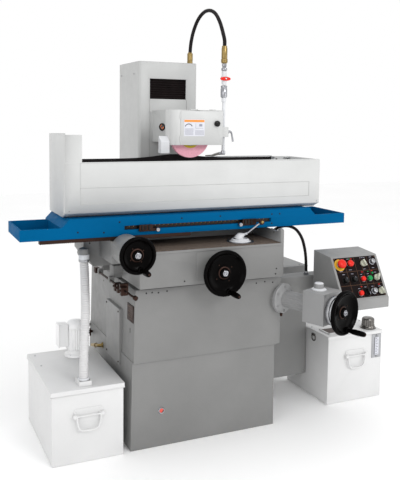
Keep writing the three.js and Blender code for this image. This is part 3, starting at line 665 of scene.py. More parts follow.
def base_details():
    make("side_access_panel", GREY, "base", box(-323, -306, -206, -24, 300, 532), bevel=2.5)
    screws("side_panel_screws", "base", LEFT, grid([-323], (-196, -34), (312, 520)), 3.5, 2.5,
           DARK_STEEL)
    make("base_plate", DARK_STEEL, "base", box(-311.6, -306, -345, -275, 510, 577), bevel=0.5)
    rows = ((566, 56), (557, 42), (548, 50), (539, 34), (530, 52), (521, 30))
    make("base_plate_marks", BRONZE, "base",
         *[box(-312.0, -311, -339, -339 + width, z, z + 2.2) for z, width in rows])
    # The slot is a black block on the side: painted shade for its dark inside.
    make("base_slot", BLACK, "base", box(-310.6, -306, -308, -303, 462, 482), bevel=1.2)
    make("toe_step", GREY_CAST, "base",
         box(-316, 322, -356.5, -349, 350, 357), bevel=2.2, segments=3)
    make("oil_sight_ring", CHROME, "base",
         ring([(9, -2), (14, -2), (14, 1.5), (12.4, 3.6), (9, 3.0)], SIGHT_GLASS, FRONT, 36))
    make("oil_sight_glass", RED_GLASS, "base",
         lathe([(9, -1), (9, 1.6), (5, 2.6), (0, 2.9)], SIGHT_GLASS, FRONT, 30))
    front = -358
    hole_shades = ((-262, 628), (-238, 629), (-212, 626), (-176, 629), (222, 625), (262, 628), (300, 622))
    holes("base_front_plugs", "base", FRONT, [(x, front, z) for x, z in hole_shades])
    holes("base_side_plugs", "base", LEFT, [(-309.4, -120, 590), (-309.4, 60, 590)])
    for index, (y, z) in enumerate(((262, 338), (218, 318))):
        make(f"side_valve_stem_{index}", DARK_STEEL, "base",
             rod(6, (-308, y, z), (-334, y, z), 16),
             rod(4, (-326, y, z - 20), (-326, y, z + 14), 16))
        knob = [(5, 0), (12, 1), (14, 4), (14, 9), (11, 12), (0, 13)]
        make(f"side_valve_knob_{index}", BLACK, "base", lathe(knob, (-332, y, z), LEFT, 20))
    pipe = [(-306, 52, 303), (-322, 52, 303), (-331, 60, 301), (-333, 76, 297), (-336, 150, 277)]
    make("side_pipe", BRASS, "base", tube(smooth_path(pipe, 6), 7.5, 18), angle=50)
    make("side_pipe_nuts", BRASS, "base",
         lathe([(13, 0), (13, 10), (11, 12)], (-309, 52, 303), LEFT, 6),
         lathe([(11, 0), (11, 14), (9, 16)], (-334, 92, 292.6), (-0.04, 0.965, -0.26), 6))
    screws("base_rear_screws", "base", BACK, grid((-290, -215, 215, 290), [262], (120, 560)))
    make("base_rear_cover", GREY, "base", box(-150, 150, 398, 403, 120, 520), bevel=1.5)
    screws("base_rear_cover_screws", "base", BACK, grid((-138, 138), [403], (132, 320, 508)))
    make("levelling_pads", DARK_STEEL, "base",
         *[lathe([(22, 0), (22, 1), (18, 5)], foot, UP, 24)
           for foot in grid((-270, 270), (-300, 210), [0])])


# ---- column --------------------------------------------------------------
def pleated_outline(folds, low, high):
    """The way cover's section: zigzag folds in front of a flat back, each edge in thirds."""
    fold = (high - low) / folds
    outline = []
    for i in range(folds):
        outline += [(98, low + fold * i), (92, low + fold * (i + 0.5))]
    outline += [(98, high), (101, high), (101, low)]
    fine = []
    for (y0, z0), (y1, z1) in zip(outline, outline[1:] + outline[:1]):
        fine += [(y0 + (y1 - y0) * t / 3, z0 + (z1 - z0) * t / 3) for t in range(3)]
    return fine


def column_details():
    inset, strip = 87 - 0.8, 87 + 5
    make("window_frame", COLUMN_LIGHT, "base", box(-96, 96, inset, 93, 1478, 1483),
         *[box(x0, x1, inset, strip, 1385, 1480) for x0, x1 in ((86, 92), (-92, -88.5))], bevel=0.5)
    low, high = 1388.6, 1479.4
    section = pleated_outline(9, low, high)
    pleats = make("column_pleats", BELLOWS, None, prism(section, "x", -88, 88), angle=50,
                  stands_for=("column_bellows",))
    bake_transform(pleats)
    make("column_top_seam", GREY, "base",
         prism(rounded(-139.5, 139.5, 88.5, 363, 13), "z", 1552, 1553), bevel=0.4)
    make("column_rear_cover", COLUMN_LIGHT, "base", box(-112, 112, 364, 370, 690, 1500), bevel=1.5)
    screws("column_rear_screws", "base", BACK,
           grid((-100, 100), [370], (704, 895, 1095, 1295, 1486)))
    make("column_louvres", COLUMN_LIGHT, "base",
         *[prism([(369, z), (376, z + 2), (376, z + 5), (369, z + 9)], "x", -60, 60)
           for z in range(1330, 1440, 16)], bevel=0.5)
    screws("column_side_screws", "base", LEFT, grid([-141], (150, 330), (700, 1100, 1500)), 3.5, 2)
    nut = [(8.4, 0), (14, 0), (14, 12), (11.5, 13), (11.5, 20), (12.5, 21), (12.5, 40), (10.4, 44),
           (10.4, 50), (8.4, 52)]
    sleeve = [(8.4, 14), (12.8, 14), (12.8, 46), (8.4, 50)]
    hose_start = (118, 118, 1553)
    make("hose_ferrule_column", BRASS, "base",
         ring(nut, hose_start, UP, 6), ring(sleeve, hose_start, UP, 28))


# ---- wheelhead -----------------------------------------------------------
def head_details():
    outward = Vector((-0.87, -0.493, 0))
    seat = Vector((-51.5, 27.5, 1264)) - outward * 1.5
    make("head_sight_bezel", BLACK, "wheelhead",
         ring([(11, 0), (17, 0), (17, 3), (14.5, 5.5), (11, 4.5)], seat, outward, 36))
    make("head_sight_glass", AMBER, "wheelhead",
         lathe([(11.2, 0), (11.2, 2.6), (6, 3.6), (0, 4.0)], seat, outward, 30))
    spout = [(-190, 1158), (-161, 1158), (-161, 1229), (-166, 1230), (-190, 1209)]
    make("spout_cover", PLASTIC, "wheelhead",
         prism(spout, "x", -141.5, -102), bevel=2.5, segments=3)
    make("guard_top_tabs", LIGHT, "wheelhead",
         box(-10, 24, -190, -160, 1337, 1342), box(88, 106, -190, -160, 1337, 1341), bevel=1)
    screws("guard_side_screws", "wheelhead", RIGHT,
           grid([164], (-186, -160), (1236, 1258)), 2.6, 1.6)
    make("blotters", YELLOW, "wheel",
         *[ring([(17, a), (48, a), (48, b), (17, b)], (0, -159, 1227), FRONT, 48)
           for a, b in ((-8.6, -8.05), (8.05, 8.6))])
    make("wheel_nut", DARK_STEEL, "wheel",
         lathe([(17, 0), (17, 10), (14, 12)], (0, -175, 1227), FRONT, 6))
    door_details()


def door_details():
    """The label is drawn without any writing: a header, grey lines, an arc and a sketch."""
    body, under = "guard_door", -210.6
    make("door_label", LABEL, body, box(-48, 45, -211.0, -209.7, 1230, 1299), bevel=0.4)
    make("door_label_header", ORANGE, body, box(-46.5, 43.5, -211.5, under, 1288, 1297))
    columns = ((-44, 38, range(1236, 1262, 4)), (2, 40, range(1236, 1256, 4)))
    make("door_label_lines", PALE_INK, body,
         *[box(x, x + width, -211.35, under, z, z + 1.3)
           for x, width, rows in columns for z in rows])
    angles = [math.radians(a) for a in range(20, 166, 12)]
    arc = [(-27 + 16 * math.cos(a), -211.2, 1266 + 14 * math.sin(a)) for a in angles]
    make("door_label_arc", INK, body, tube(arc, 1.5, 8))
    sketch = ((4, 38, 1262, 1263.2), (4, 5.2, 1262, 1282), (20, 34, 1270, 1280))
    make("door_label_sketch", PALE_INK, body,
         *[box(x0, x1, -211.3, under, z0, z1) for x0, x1, z0, z1 in sketch])
    knob = [(8, 0), (12.5, 1.5), (13, 5), (12.4, 10), (9, 12), (0, 12.4)]
    make("door_knob", BLACK, body, lathe(knob, (101, -210, 1282), FRONT, 14))
    make("door_hinges", LIGHT, "wheelhead",
         *[rod(2.6, (-64, under, z), (-64, under, z + 26), 14) for z in (1204, 1300)], angle=30)


def pipe_details():
    """What sits on the coolant pipe, from the hose down to the nozzle."""
    pipe_x, pipe_y = 148, -178

    def turned(profile, z, sides=32):
        return lathe(profile, (pipe_x, pipe_y, z), UP, sides)

    ferrule = [(8.3, 0), (11, 0), (14, 2), (14, 16), (12, 18), (12.6, 20), (12.6, 60), (11.4, 64),
               (11.4, 70), (8.3, 72)]
    make("hose_ferrule_pipe", BRASS, "wheelhead", ring(ferrule, (pipe_x, pipe_y, 1538), UP, 28),
         turned([(8, 0), (13, 0), (13, 12), (8, 13)], 1536, 6), stands_for=("coolant_pipe",))
    union = [(7, 0), (12, 2), (12.6, 7), (12, 12), (8, 14), (8, 18), (10, 20), (10, 30), (7, 31)]
    make("pipe_union", CHROME, "wheelhead", turned(union, 1504))
    valve = [(9, 0), (10.5, 2), (10.5, 16), (13, 20), (14, 27), (13, 34), (10.5, 38), (10.5, 54),
             (9, 56)]
    make("valve_body", PLASTIC, "wheelhead", turned(valve, 1448),
         rod(8, (pipe_x, pipe_y, 1471), (pipe_x, -190.6, 1471), 20))
    handle = [(122, 1471), (125, 1465.5), (140, 1463), (156, 1463), (168, 1466), (171, 1471),
              (168, 1476), (156, 1479), (140, 1479), (125, 1476.5)]
    make("valve_handle", RED, "valve_lever", prism(handle, "y", -197.5, -191.2),
         bevel=2, segments=3, stands_for=("valve_lever",))
    make("valve_screw", CHROME, "valve_lever",
         lathe([(4, 0), (4, 2), (0, 3)], (pipe_x, -197.4, 1471), FRONT, 6))
    sleeve = [(8, 0), (12, 2), (14, 6), (14, 38), (12.6, 40), (12.6, 44), (13.4, 45), (13.4, 51),
              (9, 53)]
    make("pipe_sleeve", CHROME, "wheelhead", turned(sleeve, 1391))
    make("pipe_white", PLASTIC, "wheelhead", turned([(6.4, 0), (6.4, 226), (5.6, 228)], 1166, 24),
         rod(9.4, (pipe_x, pipe_y, 1374), (pipe_x, pipe_y, 1392), 24))
    make("pipe_elbow", CHROME, "wheelhead",
         turned([(6, 0), (9, 1), (9.5, 8), (9, 17), (7, 18)], 1150, 24),
         rod(6.4, (pipe_x, pipe_y, 1157), (130, -173, 1155), 18))
    nozzle = [(132, 1150), (132, 1161), (118, 1158), (98, 1151), (70, 1149), (68, 1145), (98, 1143),
              (118, 1147)]
    make("coolant_nozzle", OLD_CHROME, "wheelhead", prism(nozzle, "y", -178, -167), bevel=1.4)
    lever = [(160, -178, 1247), (176, -178, 1250), (184, -178, 1247), (188, -179, 1236),
             (193, -181, 1206)]
    make("clamp_lever_arm", CHROME, "clamp_lever",
         tube(smooth_path(lever, 6), lambda d: 5.2 - 1.6 * abs(math.sin(d / 26)), 16),
         rod(7, (165, -178, 1247), (174, -178, 1248), 24), angle=50, stands_for=("clamp_lever",))


# ---- table and splash guard ----------------------------------------------
def table_details():
    groove, tooth, pitch = (873.5, 888.5), (-309.95, -309.3), 18
    make("groove_strip", DARK_STEEL, "table", box(-336, 306, -309.4, -307.6, *groove))
    make("groove_shade", BLACK, "table", box(-336, 306, -309.7, -309.2, *groove))
    make("groove_teeth", DARK_STEEL, "table",
         *[box(x, x + 7, *tooth, 875.5 + 2.5 * (x % 4 == 2), 887) for x in range(-326, 292, pitch)])
    make("groove_marks", BRASS, "table",
         *[box(x, x + 1.6, *tooth, 883, 887) for x in range(-317, 290, pitch)])
    hole_shades = ((-420, 868), (-358, 905), (-100, 908), (70, 908), (312, 905), (312, 866), (350, 905),
             (-520, 874))
    holes("table_front_plugs", "table", FRONT, [(x, -320, z) for x, z in hole_shades], 3.4)
    make("rack_teeth", DARK_STEEL, "table",
         *[box(x, x + 3.2, -312, -298, 834.2, 836.4) for x in range(-658, -64, 8)])
    make("chuck_poles", BRASS, "table",
         *[box(x, x + 3, -232, -94, 1003.6, 1004.4) for x in range(-228, 192, 12)])
    make("chuck_end_caps", STEEL, "table",
         *[box(x, x + 8, -236, -90, 926, 996) for x in (-252, 204)], bevel=1.5)
    trip_dog("left", -282, -226, -206)
    trip_dog("right", 168, 232, 158)


def trip_dog(side, x0, x1, knob_x):
    node, body = f"{side}_trip_dog", f"{side}_dog"
    make(f"{node}_body", DARK_STEEL, body, box(x0, x1, -331, -321.2, 867, 891),
         box(x0 + 8, x1 - 8, -322, -310.2, 874.5, 887.5),
         box(min(knob_x, x0 + 4), max(knob_x, x1 - 4), -329, -321.2, 864.5, 875.5),
         bevel=1.2, stands_for=(node,))
    fingers = [(x0 + 8 + 14 * k, 869 + 3 * (k % 2)) for k in range(3)]
    make(f"{node}_finger", BLACK, body,
         *[box(x, x + 8, -334, -330.5, z, 889) for x, z in fingers], bevel=0.8)
    knob = [(6, -13), (8.4, -12), (8.4, 2), (7, 4), (0, 4.4)]
    make(f"{node}_knob", CHROME, body, lathe(knob, (knob_x, -333, 870), FRONT, 28))


def guard_details():
    front = -297
    groove = (front - 1.1, front + 0.5)
    # The panel's outline and the seam are strips in the darker casting grey: painted shade along
    # the embossed edges and the seam.
    make("guard_panel_shaded_outline", LIGHT_CAST, "table",
         *[box(-504, 509, *groove, z, z + 2.2) for z in (974, 1035)],
         *[box(x, x + 2.2, *groove, 974, 1037) for x in (-504, 507)], bevel=0.5)
    make("guard_seam_shaded", LIGHT_CAST, "table", box(-505, -503.2, front - 0.9, front + 0.5, 1037, 1131),
         box(-505, 509, front - 0.5, front + 0.5, 1129.5, 1132.4), bevel=0.4)
    # A black strip along the guard's foot on the table: painted shadow for the dark line where the
    # guard meets the table.
    make("guard_foot_shadow_strip", RUBBER, "table", box(-560, 560, -262, -254.5, 924.2, 927.6))
    make("guard_hem", LIGHT, "table",
         tube([(-560, -295.5, 1132.2), (556, -295.5, 1132.2)], 1.9), angle=60)
    make("guard_bracket", LIGHT, "table",
         box(466, 474, -34.6, -28.4, 1040, 1136), box(466, 488, -60, -32, 1130, 1133), bevel=0.8)
    make("guard_bracket_screw", DARK_STEEL, "table",
         lathe([(3.6, 0), (3.6, 3), (0, 4)], (498, -32.4, 1118), FRONT, 16))
    screws("guard_corner_screws", "table", FRONT, [(552, front, 950), (-548, front, 950)], 3, 1.6)
    make("guard_corner_tabs", LIGHT, "table",
         *[box(x - 12, x + 12, y - 10, y + 10, 1126, 1128.4)
           for x, y in ((-540, -280), (548, -282), (548, -44))], bevel=0.7)


def squash_with_head(piece):
    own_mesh(piece)


def rear_curtain():
    """The soft rubber sheet above the low rear wall: it bulges forward in the middle. The sheet's
    black is its own; the bulge is painted shade for the shadow behind the wheel.
    """
    columns, rows, thickness = 60, 8, 2.4
    left, right, low, high = -496.0, 469.0, 1040.6, 1131.0
    points, faces = [], []
    for depth in (0, thickness):
        for r in range(rows + 1):
            for c in range(columns + 1):
                x = left + (right - left) * c / columns
                # The bulge is painted shade: it widens the black band behind the wheel.
                bulge = math.exp(-(((x + 15) / 120) ** 2))
                z = low + (high + 17 * bulge - low) * r / rows
                lean = 21 * bulge * math.sin(math.pi * r / rows / 1.35)
                wave = 1 + math.sin(x / 23) * math.sin(math.pi * r / rows)
                points.append((x, -31.2 - depth - lean - wave, z))
    across, side = columns + 1, (rows + 1) * (columns + 1)
    for r in range(rows):
        for c in range(columns):
            a = r * across + c
            quad = (a, a + 1, a + across + 1, a + across)
            faces += [quad[::-1], tuple(side + i for i in quad)]
    rim = [r * across for r in range(rows + 1)]
    rim += [rows * across + c for c in range(1, across)]
    rim += [r * across + columns for r in range(rows - 1, -1, -1)]
    rim += range(columns - 1, 0, -1)
    faces += [(a, b, side + b, side + a) for a, b in zip(rim, rim[1:] + rim[:1])]
    sheet = make("rear_curtain", RUBBER, "table", (points, faces), angle=60)
    squash_with_head(sheet)
    edge = [(130 + (right - 130) * i / 20, -31.6, 1134.0) for i in range(21)]
    squash_with_head(make("rear_curtain_bead", STEEL, "table", tube(edge, 1.9, 10), angle=60))


# ---- saddle --------------------------------------------------------------
LONGITUDINAL_AXIS = (-336, 801)
CROSS_AXIS = (24, 705)


def saddle_details():
    make("shelf_mat", MAT, "saddle", box(-300, 311.4, -396, -157.5, 794.6, 797.8), bevel=0.9)
    make("apron_pad", GREY_CAST, "saddle", box(-68, 126, -401.4, -398, 668, 782), bevel=1.0)
    make("apron_drip_lip", GREY_CAST, "saddle",
         box(-303, 313, -403, -398, 786, 795.4), bevel=1.8, segments=3)
    holes("apron_plugs", "saddle", FRONT, [(-120, -400, 672), (292, -400, 690), (288, -400, 668)])
    screws("apron_wall_screws", "saddle", RIGHT, [(325, -340, 838), (325, -300, 838)], 4, 2.4,
           DARK_STEEL)
    holes("apron_wall_plugs", "saddle", LEFT, [(312, -340, 832), (312, -220, 832)], 3.4)
    holes("saddle_plugs", "saddle", FRONT,
          [(-366, -155, 800), (-366, -155, 778), (-430, -155, 800)])
    holes("saddle_side_plugs", "saddle", LEFT,
          [(-455, -128, 815), (-455, -128, 790), (-455, -60, 800)])

    def bearing(name, material, profile, axis, y):
        make(name, material, "saddle", ring(profile, (axis[0], y, axis[1]), FRONT, 48))

    bearing("housing_collar", GREY_CAST, [(46, 0), (59.4, 0), (59.4, 14), (56, 17), (46, 17)],
            LONGITUDINAL_AXIS, -425)
    bearing("housing_ring", CHROME, [(19, 0), (52, 0), (52, 1.2), (50, 2.6), (19, 2.6)],
            LONGITUDINAL_AXIS, -440)
    bearing("cross_bearing", GREY_CAST, [(19.5, 0), (40, 0), (40, 4), (36, 7), (19.5, 7)],
            CROSS_AXIS, -400)
    bearing("cross_dial", CHROME, [(19, 0), (33, 0), (33, 20), (31, 22), (19, 22)],
            CROSS_AXIS, -407)
    stop_rod()
    drain = (-460, -180)
    make("drain_cuff", STEEL, "saddle",
         ring([(19.6, 0), (21.4, 0), (21.4, 9), (19.6, 9)], (*drain, 734), UP, 36),
         box(-466, -454, -206, -199, 735, 742))
    make("drain_cap", PLASTIC, "saddle",
         lathe([(21, 0), (21, 16), (19, 20), (12, 24), (0, 25)], (*drain, 743), UP, 32))
    reversing_lever()


def stop_rod():
    make("stop_rod", DARK_STEEL, "saddle",
         tube([(-352, 30, 648), (-352, -404, 648)], 4.6, 16), angle=60)
    make("stop_rod_brackets", GREY_CAST, "saddle", box(-358, -336, -30, -14, 640, 664),
         box(-358, -336, -186, -168, 640, 664), bevel=2)
    make("stop_rod_head", DARK_STEEL, "saddle", box(-362, -342, 4, 32, 638, 662), bevel=2)
    dogs = (-292, -326, -372)
    make("stop_dogs", DARK_STEEL, "saddle", *[box(-368, -340, y, y + 18, 630, 662) for y in dogs],
         box(-366, -332, -352, -336, 640, 672), bevel=2)
    screws("stop_dog_screws", "saddle", LEFT, [(-368, y + 9, 650) for y in dogs], 4.4, 5,
           DARK_STEEL)
    make("stop_lever", DARK_STEEL, "saddle",
         tube([(-350, -392, 648), (-346, -420, 643), (-338, -446, 639)], 4.2, 14),
         lathe([(5, 0), (9, 3), (9, 14), (5, 17)], (-340, -440, 640), (0.3, -0.9, -0.2), 18),
         angle=50)


def reversing_lever():
    foot = (165, -316)
    skirt = [(52, 0), (52, 2.6), (44, 4), (40, 5), (38, 8), (38.6, 10.5), (35, 12.6), (33, 14.6),
             (31, 15.4), (29.4, 15), (28.4, 6)]
    make("gaiter_skirt", PLASTIC, "saddle", lathe(skirt, (*foot, 795.3), UP, 48), angle=50,
         stands_for=("lever_gaiter",))
    make("gaiter_plate", STEEL, "saddle",
         ring([(46, 0), (57, 0), (57, 1.4), (46, 2.0)], (*foot, 797.6), UP, 48))
    boot = [(165, -316, 811), (165.5, -316.5, 815), (167, -318, 819), (171, -322, 823),
            (178, -328, 827.5), (187, -336, 833)]
    piece = make("gaiter_boot", PLASTIC, None,
                 tube(smooth_path(boot, 6), lambda d: 5 + 22 * max(0.0, 1 - d / 28) ** 1.5, 28),
                 angle=60)
    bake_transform(piece)
    body = "reversing_lever"
    arm = [(165, -316, 812), (176, -326, 823), (187, -336, 833), (214, -347, 857), (241, -359, 881)]
    make(f"{body}_arm", CHROME, body, tube(smooth_path(arm, 6), 4.2, 16), angle=60,
         stands_for=(body,))
    roller = [(4, 0), (11.5, 1), (12.5, 3), (12.5, 8), (11.5, 10), (6, 10.6)]
    make(f"{body}_roller", DARK_STEEL, body, lathe(roller, (241, -353, 881), FRONT, 28))
    make(f"{body}_pin", BRASS, body,
         lathe([(5.4, 0), (5.4, 3), (0, 4)], (241, -363.4, 881), FRONT, 20))


# ---- handwheels and elevation drive --------------------------------------
def arm_point(distance, side=0.0, up=0.0):
    """A place by the elevation drive's slanting arm, measured from its flange."""
    turn = math.radians(20.7)
    c, s = math.cos(turn), math.sin(turn)
    return Vector((349 + distance * s - side * c, -357 - distance * c - side * s, 550 + up))


ARM = (arm_point(1) - arm_point(0)).normalized()
ARM_ACROSS = arm_point(0, -1) - arm_point(0)
ARM_SIDE = ARM_ACROSS.normalized()


def handwheel(name, centre, direction, across, R, back):
    """A dished wheel of radius R, whose hub reaches back; its grip hangs low on the rim."""
    body, grip = f"{name}_handwheel", f"{name}_grip"
    centre = Vector(centre)
    dish = [
        (17, -back), (17, -15), (20, -14), (R * 0.55, -14), (R * 0.7, -12.5), (R - 14, -9),
        (R - 7, -9.4), (R - 3, -7), (R - 0.6, -3), (R, 0.5), (R - 0.6, 4), (R - 3, 8), (R - 7, 10),
        (R - 10, 9.4), (R - 13, 6.4), (R * 0.8, 0), (R * 0.7, -4.5), (R * 0.55, -7.6),
        (R * 0.4, -9), (24, -8.2), (21, -6), (19.4, 2), (18, 4),
    ]
    make(f"{body}_rim", GLOSS_BLACK, body, lathe(dish, centre, direction, 72), angle=60,
         stands_for=(body,))
    hub = [(11.5, 3.9), (11.5, 5.2), (10.6, 5.8), (8, 5.8), (8, 9.2), (7.2, 10), (4.2, 10.2),
           (3.8, 7.4), (0, 7.4)]
    make(f"{body}_hub", CHROME, body, lathe(hub, centre, direction, 40), angle=40)
    hub_ring = [(18, -8), (25.5, -8.6), (25.5, -6.4), (23, -4.8), (18, -4.8)]
    make(f"{body}_hub_ring", DARK_STEEL, body, ring(hub_ring, centre, direction, 48))
    side = direction.cross(across)
    pins = around(centre - direction * 9, across, side, R * 0.42, (0.6, 2.17, 3.74, 5.31))
    screws(f"{body}_pins", body, direction, pins, 2.6, 1.4, DARK_STEEL)
    reach, lean = R - 15, math.radians(14)
    start = centre + Vector((0, 0, -reach * math.cos(lean)))
    start += across * reach * math.sin(lean) + direction * 9
    make(f"{body}_boss", GLOSS_BLACK, body,
         lathe([(13, -16), (13, -2), (10, 0.1)], start, direction, 28))
    barrel = [(6, 0.4), (8.2, 0.6), (8.2, 6), (7.4, 8), (8.4, 11), (10, 16), (11.3, 28), (11.4, 44),
              (10.8, 58), (10, 68), (8.4, 74), (5, 77), (4.6, 75.4), (0, 75.4)]
    make(f"{grip}_barrel", GLOSS_BLACK, grip, lathe(barrel, start, direction, 32), angle=50,
         stands_for=(grip,))
    make(f"{grip}_screw", DARK_STEEL, grip,
         lathe([(4.2, 74), (4.2, 77), (2, 77.6), (0, 76)], start, direction, 16))


def wheels():
    (x, z), (cross_x, cross_z) = LONGITUDINAL_AXIS, CROSS_AXIS
    handwheel("longitudinal", (x, -470, z), FRONT, RIGHT, 71, 28)
    handwheel("cross", (cross_x, -464, cross_z), FRONT, RIGHT, 92, 62)
    handwheel("elevation", arm_point(309), ARM, ARM_SIDE, 90, 23.5)


def elevation_details():
    flange = [(63, 0), (63, 11), (60, 14), (46, 16), (40, 22), (36, 24)]
    make("arm_flange", PALE_CAST, "base", lathe(flange, arm_point(-2), ARM, 56), angle=40,
         stands_for=("elevation_tube",))
    make("arm_tube", PALE_CAST, "base", fluted(36, 2.2, 18, arm_point(12), ARM, 137.4), angle=70)
    make("arm_tube_collar", PALE_CAST, "base",
         lathe([(39, 0), (41, 2), (41, 9), (38, 11)], arm_point(138.5), ARM, 56))
    screws("arm_flange_screws", "base", ARM,
           around(arm_point(12.4), ARM_ACROSS, UP, 53, full_turn(6, 0.5)), 4.6, 4, PALE_CAST)
    make("oil_nipple", DARK_STEEL, "base",
         lathe([(6, 0), (6, 8), (4, 12), (0, 13)], arm_point(20, 30, -56), (0, 0, -1), 16))
    cap_seat = arm_point(188.5, 4, 70.6)
    make("oil_cap_base", PLASTIC, "base", lathe([(30, 0), (30, 4), (28, 6), (21, 8)], cap_seat))
    make("oil_cap", PLASTIC, "base", fluted(18.5, 1.6, 14, cap_seat + UP * 7, UP, 20),
         lathe([(18, 0), (16, 3), (9, 4.2), (0, 4.4)], cap_seat + UP * 26.6), angle=60)
    corners = [arm_point(251, side, up) for side in (-50, 50) for up in (-48, 62)]
    screws("gearbox_screws", "base", ARM, corners, 3.6, 0.8)
    body, seat = "elevation_handwheel", arm_point(252)
    drum = [(50, 0), (50, 4), (59, 5.4), (60, 7), (60, 21), (59, 22.6), (55, 24), (54, 26),
            (54, 32), (53, 33)]
    make("elevation_dial_drum", STEEL, body, lathe(drum, seat, ARM, 72), angle=40,
         stands_for=("elevation_dial",))
    starts = around(seat + ARM * 9, ARM_SIDE, UP, 60, full_turn(60))
    marks = [tube([p, p + ARM * (5 if k % 5 else 9)], 0.45, 6) for k, p in enumerate(starts)]
    make("elevation_dial_marks", INK, body, *marks)


# ---- console: (across, down) in millimetres from the face's top left corner
PANEL_TOP = Vector((515, -462, 731))
PANEL_DOWN = Vector((0, -91, -163)).normalized()
PANEL_OUT = Vector((0, PANEL_DOWN.z, -PANEL_DOWN.y))
PRESS = 5.5  # how far a cap stands off the face, so that it can be pressed

# Legends without text: across, down and half a width.
RED_LEGENDS = ((33, 12, 4), (98, 13, 4), (136, 74, 4), (186, 72, 4), (204, 133, 4), (112, 136, 4))
GREEN_LEGENDS = ((88, 13, 4), (166, 74, 4))
PALE_LEGENDS = (
    (80, 13, 5), (146, 12, 3), (156, 12, 3), (166, 12, 3), (198, 12, 6), (40, 78, 6), (84, 78, 6),
    (128, 84, 5), (162, 84, 5), (201, 80, 6), (98, 143, 5), (131, 139, 5), (167, 139, 5),
    (204, 141, 6), (33, 64, 8), (80, 60, 7), (152, 62, 6), (198, 60, 6),
)


def on_panel(across, down, out=0.0):
    return PANEL_TOP + RIGHT * across + PANEL_DOWN * down + PANEL_OUT * out


def slab(a0, a1, d0, d1, out0, out1):
    """A flat block on the console's face."""
    return [on_panel(*place) for place in grid((a0, a1), (d0, d1), (out0, out1))], BOX_FACES


def legends(name, material, places, half_height):
    make(name, material, "base",
         *[slab(a - w, a + w, d - half_height, d + half_height, 0.6, 1.05) for a, d, w in places])


def panel_ring(profile, across, down, sides=32):
    return ring(profile, on_panel(across, down), PANEL_OUT, sides)


def push_button(node, across, down, radius, material, height):
    profile = [(radius - 1, -0.6), (radius, 0.2), (radius, height - 2.4),
               (radius - 1.6, height - 0.4), (radius - 4, height - 0.1), (0, height - 0.6)]
    button_cap(node, across, down, material, profile)


def mushroom_button(node, across, down, radius, height):
    stem = radius * 0.5 - 0.2
    profile = [(stem, 0.4), (stem, height * 0.35), (radius * 0.86, height * 0.42),
               (radius, height * 0.52), (radius, height * 0.72), (radius * 0.9, height * 0.86),
               (radius * 0.6, height * 0.97), (0, height)]
    button_cap(node, across, down, RED, profile)


def button_cap(node, across, down, material, profile):
    foot = on_panel(across, down, PRESS)
    make(f"{node}_cap", material, node, lathe(profile, foot, PANEL_OUT, 36), angle=40,
         stands_for=(node,))


def selector(node, across, down, material, lean):
    """A turning switch, with its bar leaning by so many degrees."""
    place = on_panel(across, down, 1)
    skirt = [(13, 0), (13.4, 2), (13, 6), (12, 8), (0, 8.4)]
    make(f"{node}_skirt", material, node, lathe(skirt, place, PANEL_OUT, 36), angle=40,
         stands_for=(node,))
    outline = [(-3.6, -13), (-2.2, -14.4), (2.2, -14.4), (3.6, -13), (4.2, 0), (3.6, 13),
               (2.2, 14.4), (-2.2, 14.4), (-3.6, 13), (-4.2, 0)]
    turn = turn_to(PANEL_OUT) @ Matrix.Rotation(math.radians(lean), 3, "Z")
    make(f"{node}_handle", material, node,
         placed(prism(outline, "z", 7.5, 21), turn, place), bevel=1.2)
    make(f"{node}_pointer", PALE_INK if material == BLACK else INK, node,
         placed(box(-0.8, 0.8, -12, -2, 21, 21.6), turn, place))


def dial(node, across, down, radius, material):
    place = on_panel(across, down, 1)
    collar_material, ink = (CHROME, INK) if material == STEEL else (BLACK, PALE_INK)
    collar = [(radius + 1.4, 0), (radius + 1.4, 3), (radius, 4.4)]
    make(f"{node}_collar", collar_material, node, lathe(collar, place, PANEL_OUT, 36),
         stands_for=(node,))
    cap = [(radius - 2.6, 0), (radius - 3.2, 1.6), (radius - 5, 2.2), (0, 2.0)]
    make(f"{node}_knob", material, node,
         fluted(radius - 1.4, 1.1, 16, place + PANEL_OUT * 4, PANEL_OUT, 12),
         lathe(cap, place + PANEL_OUT * 16, PANEL_OUT, 32), angle=60)
    mark = [place + PANEL_OUT * 18.3 - PANEL_DOWN * 2,
            place + PANEL_OUT * 18.0 - PANEL_DOWN * (radius - 3)]
    make(f"{node}_mark", ink, node, tube(mark, 0.6, 6))


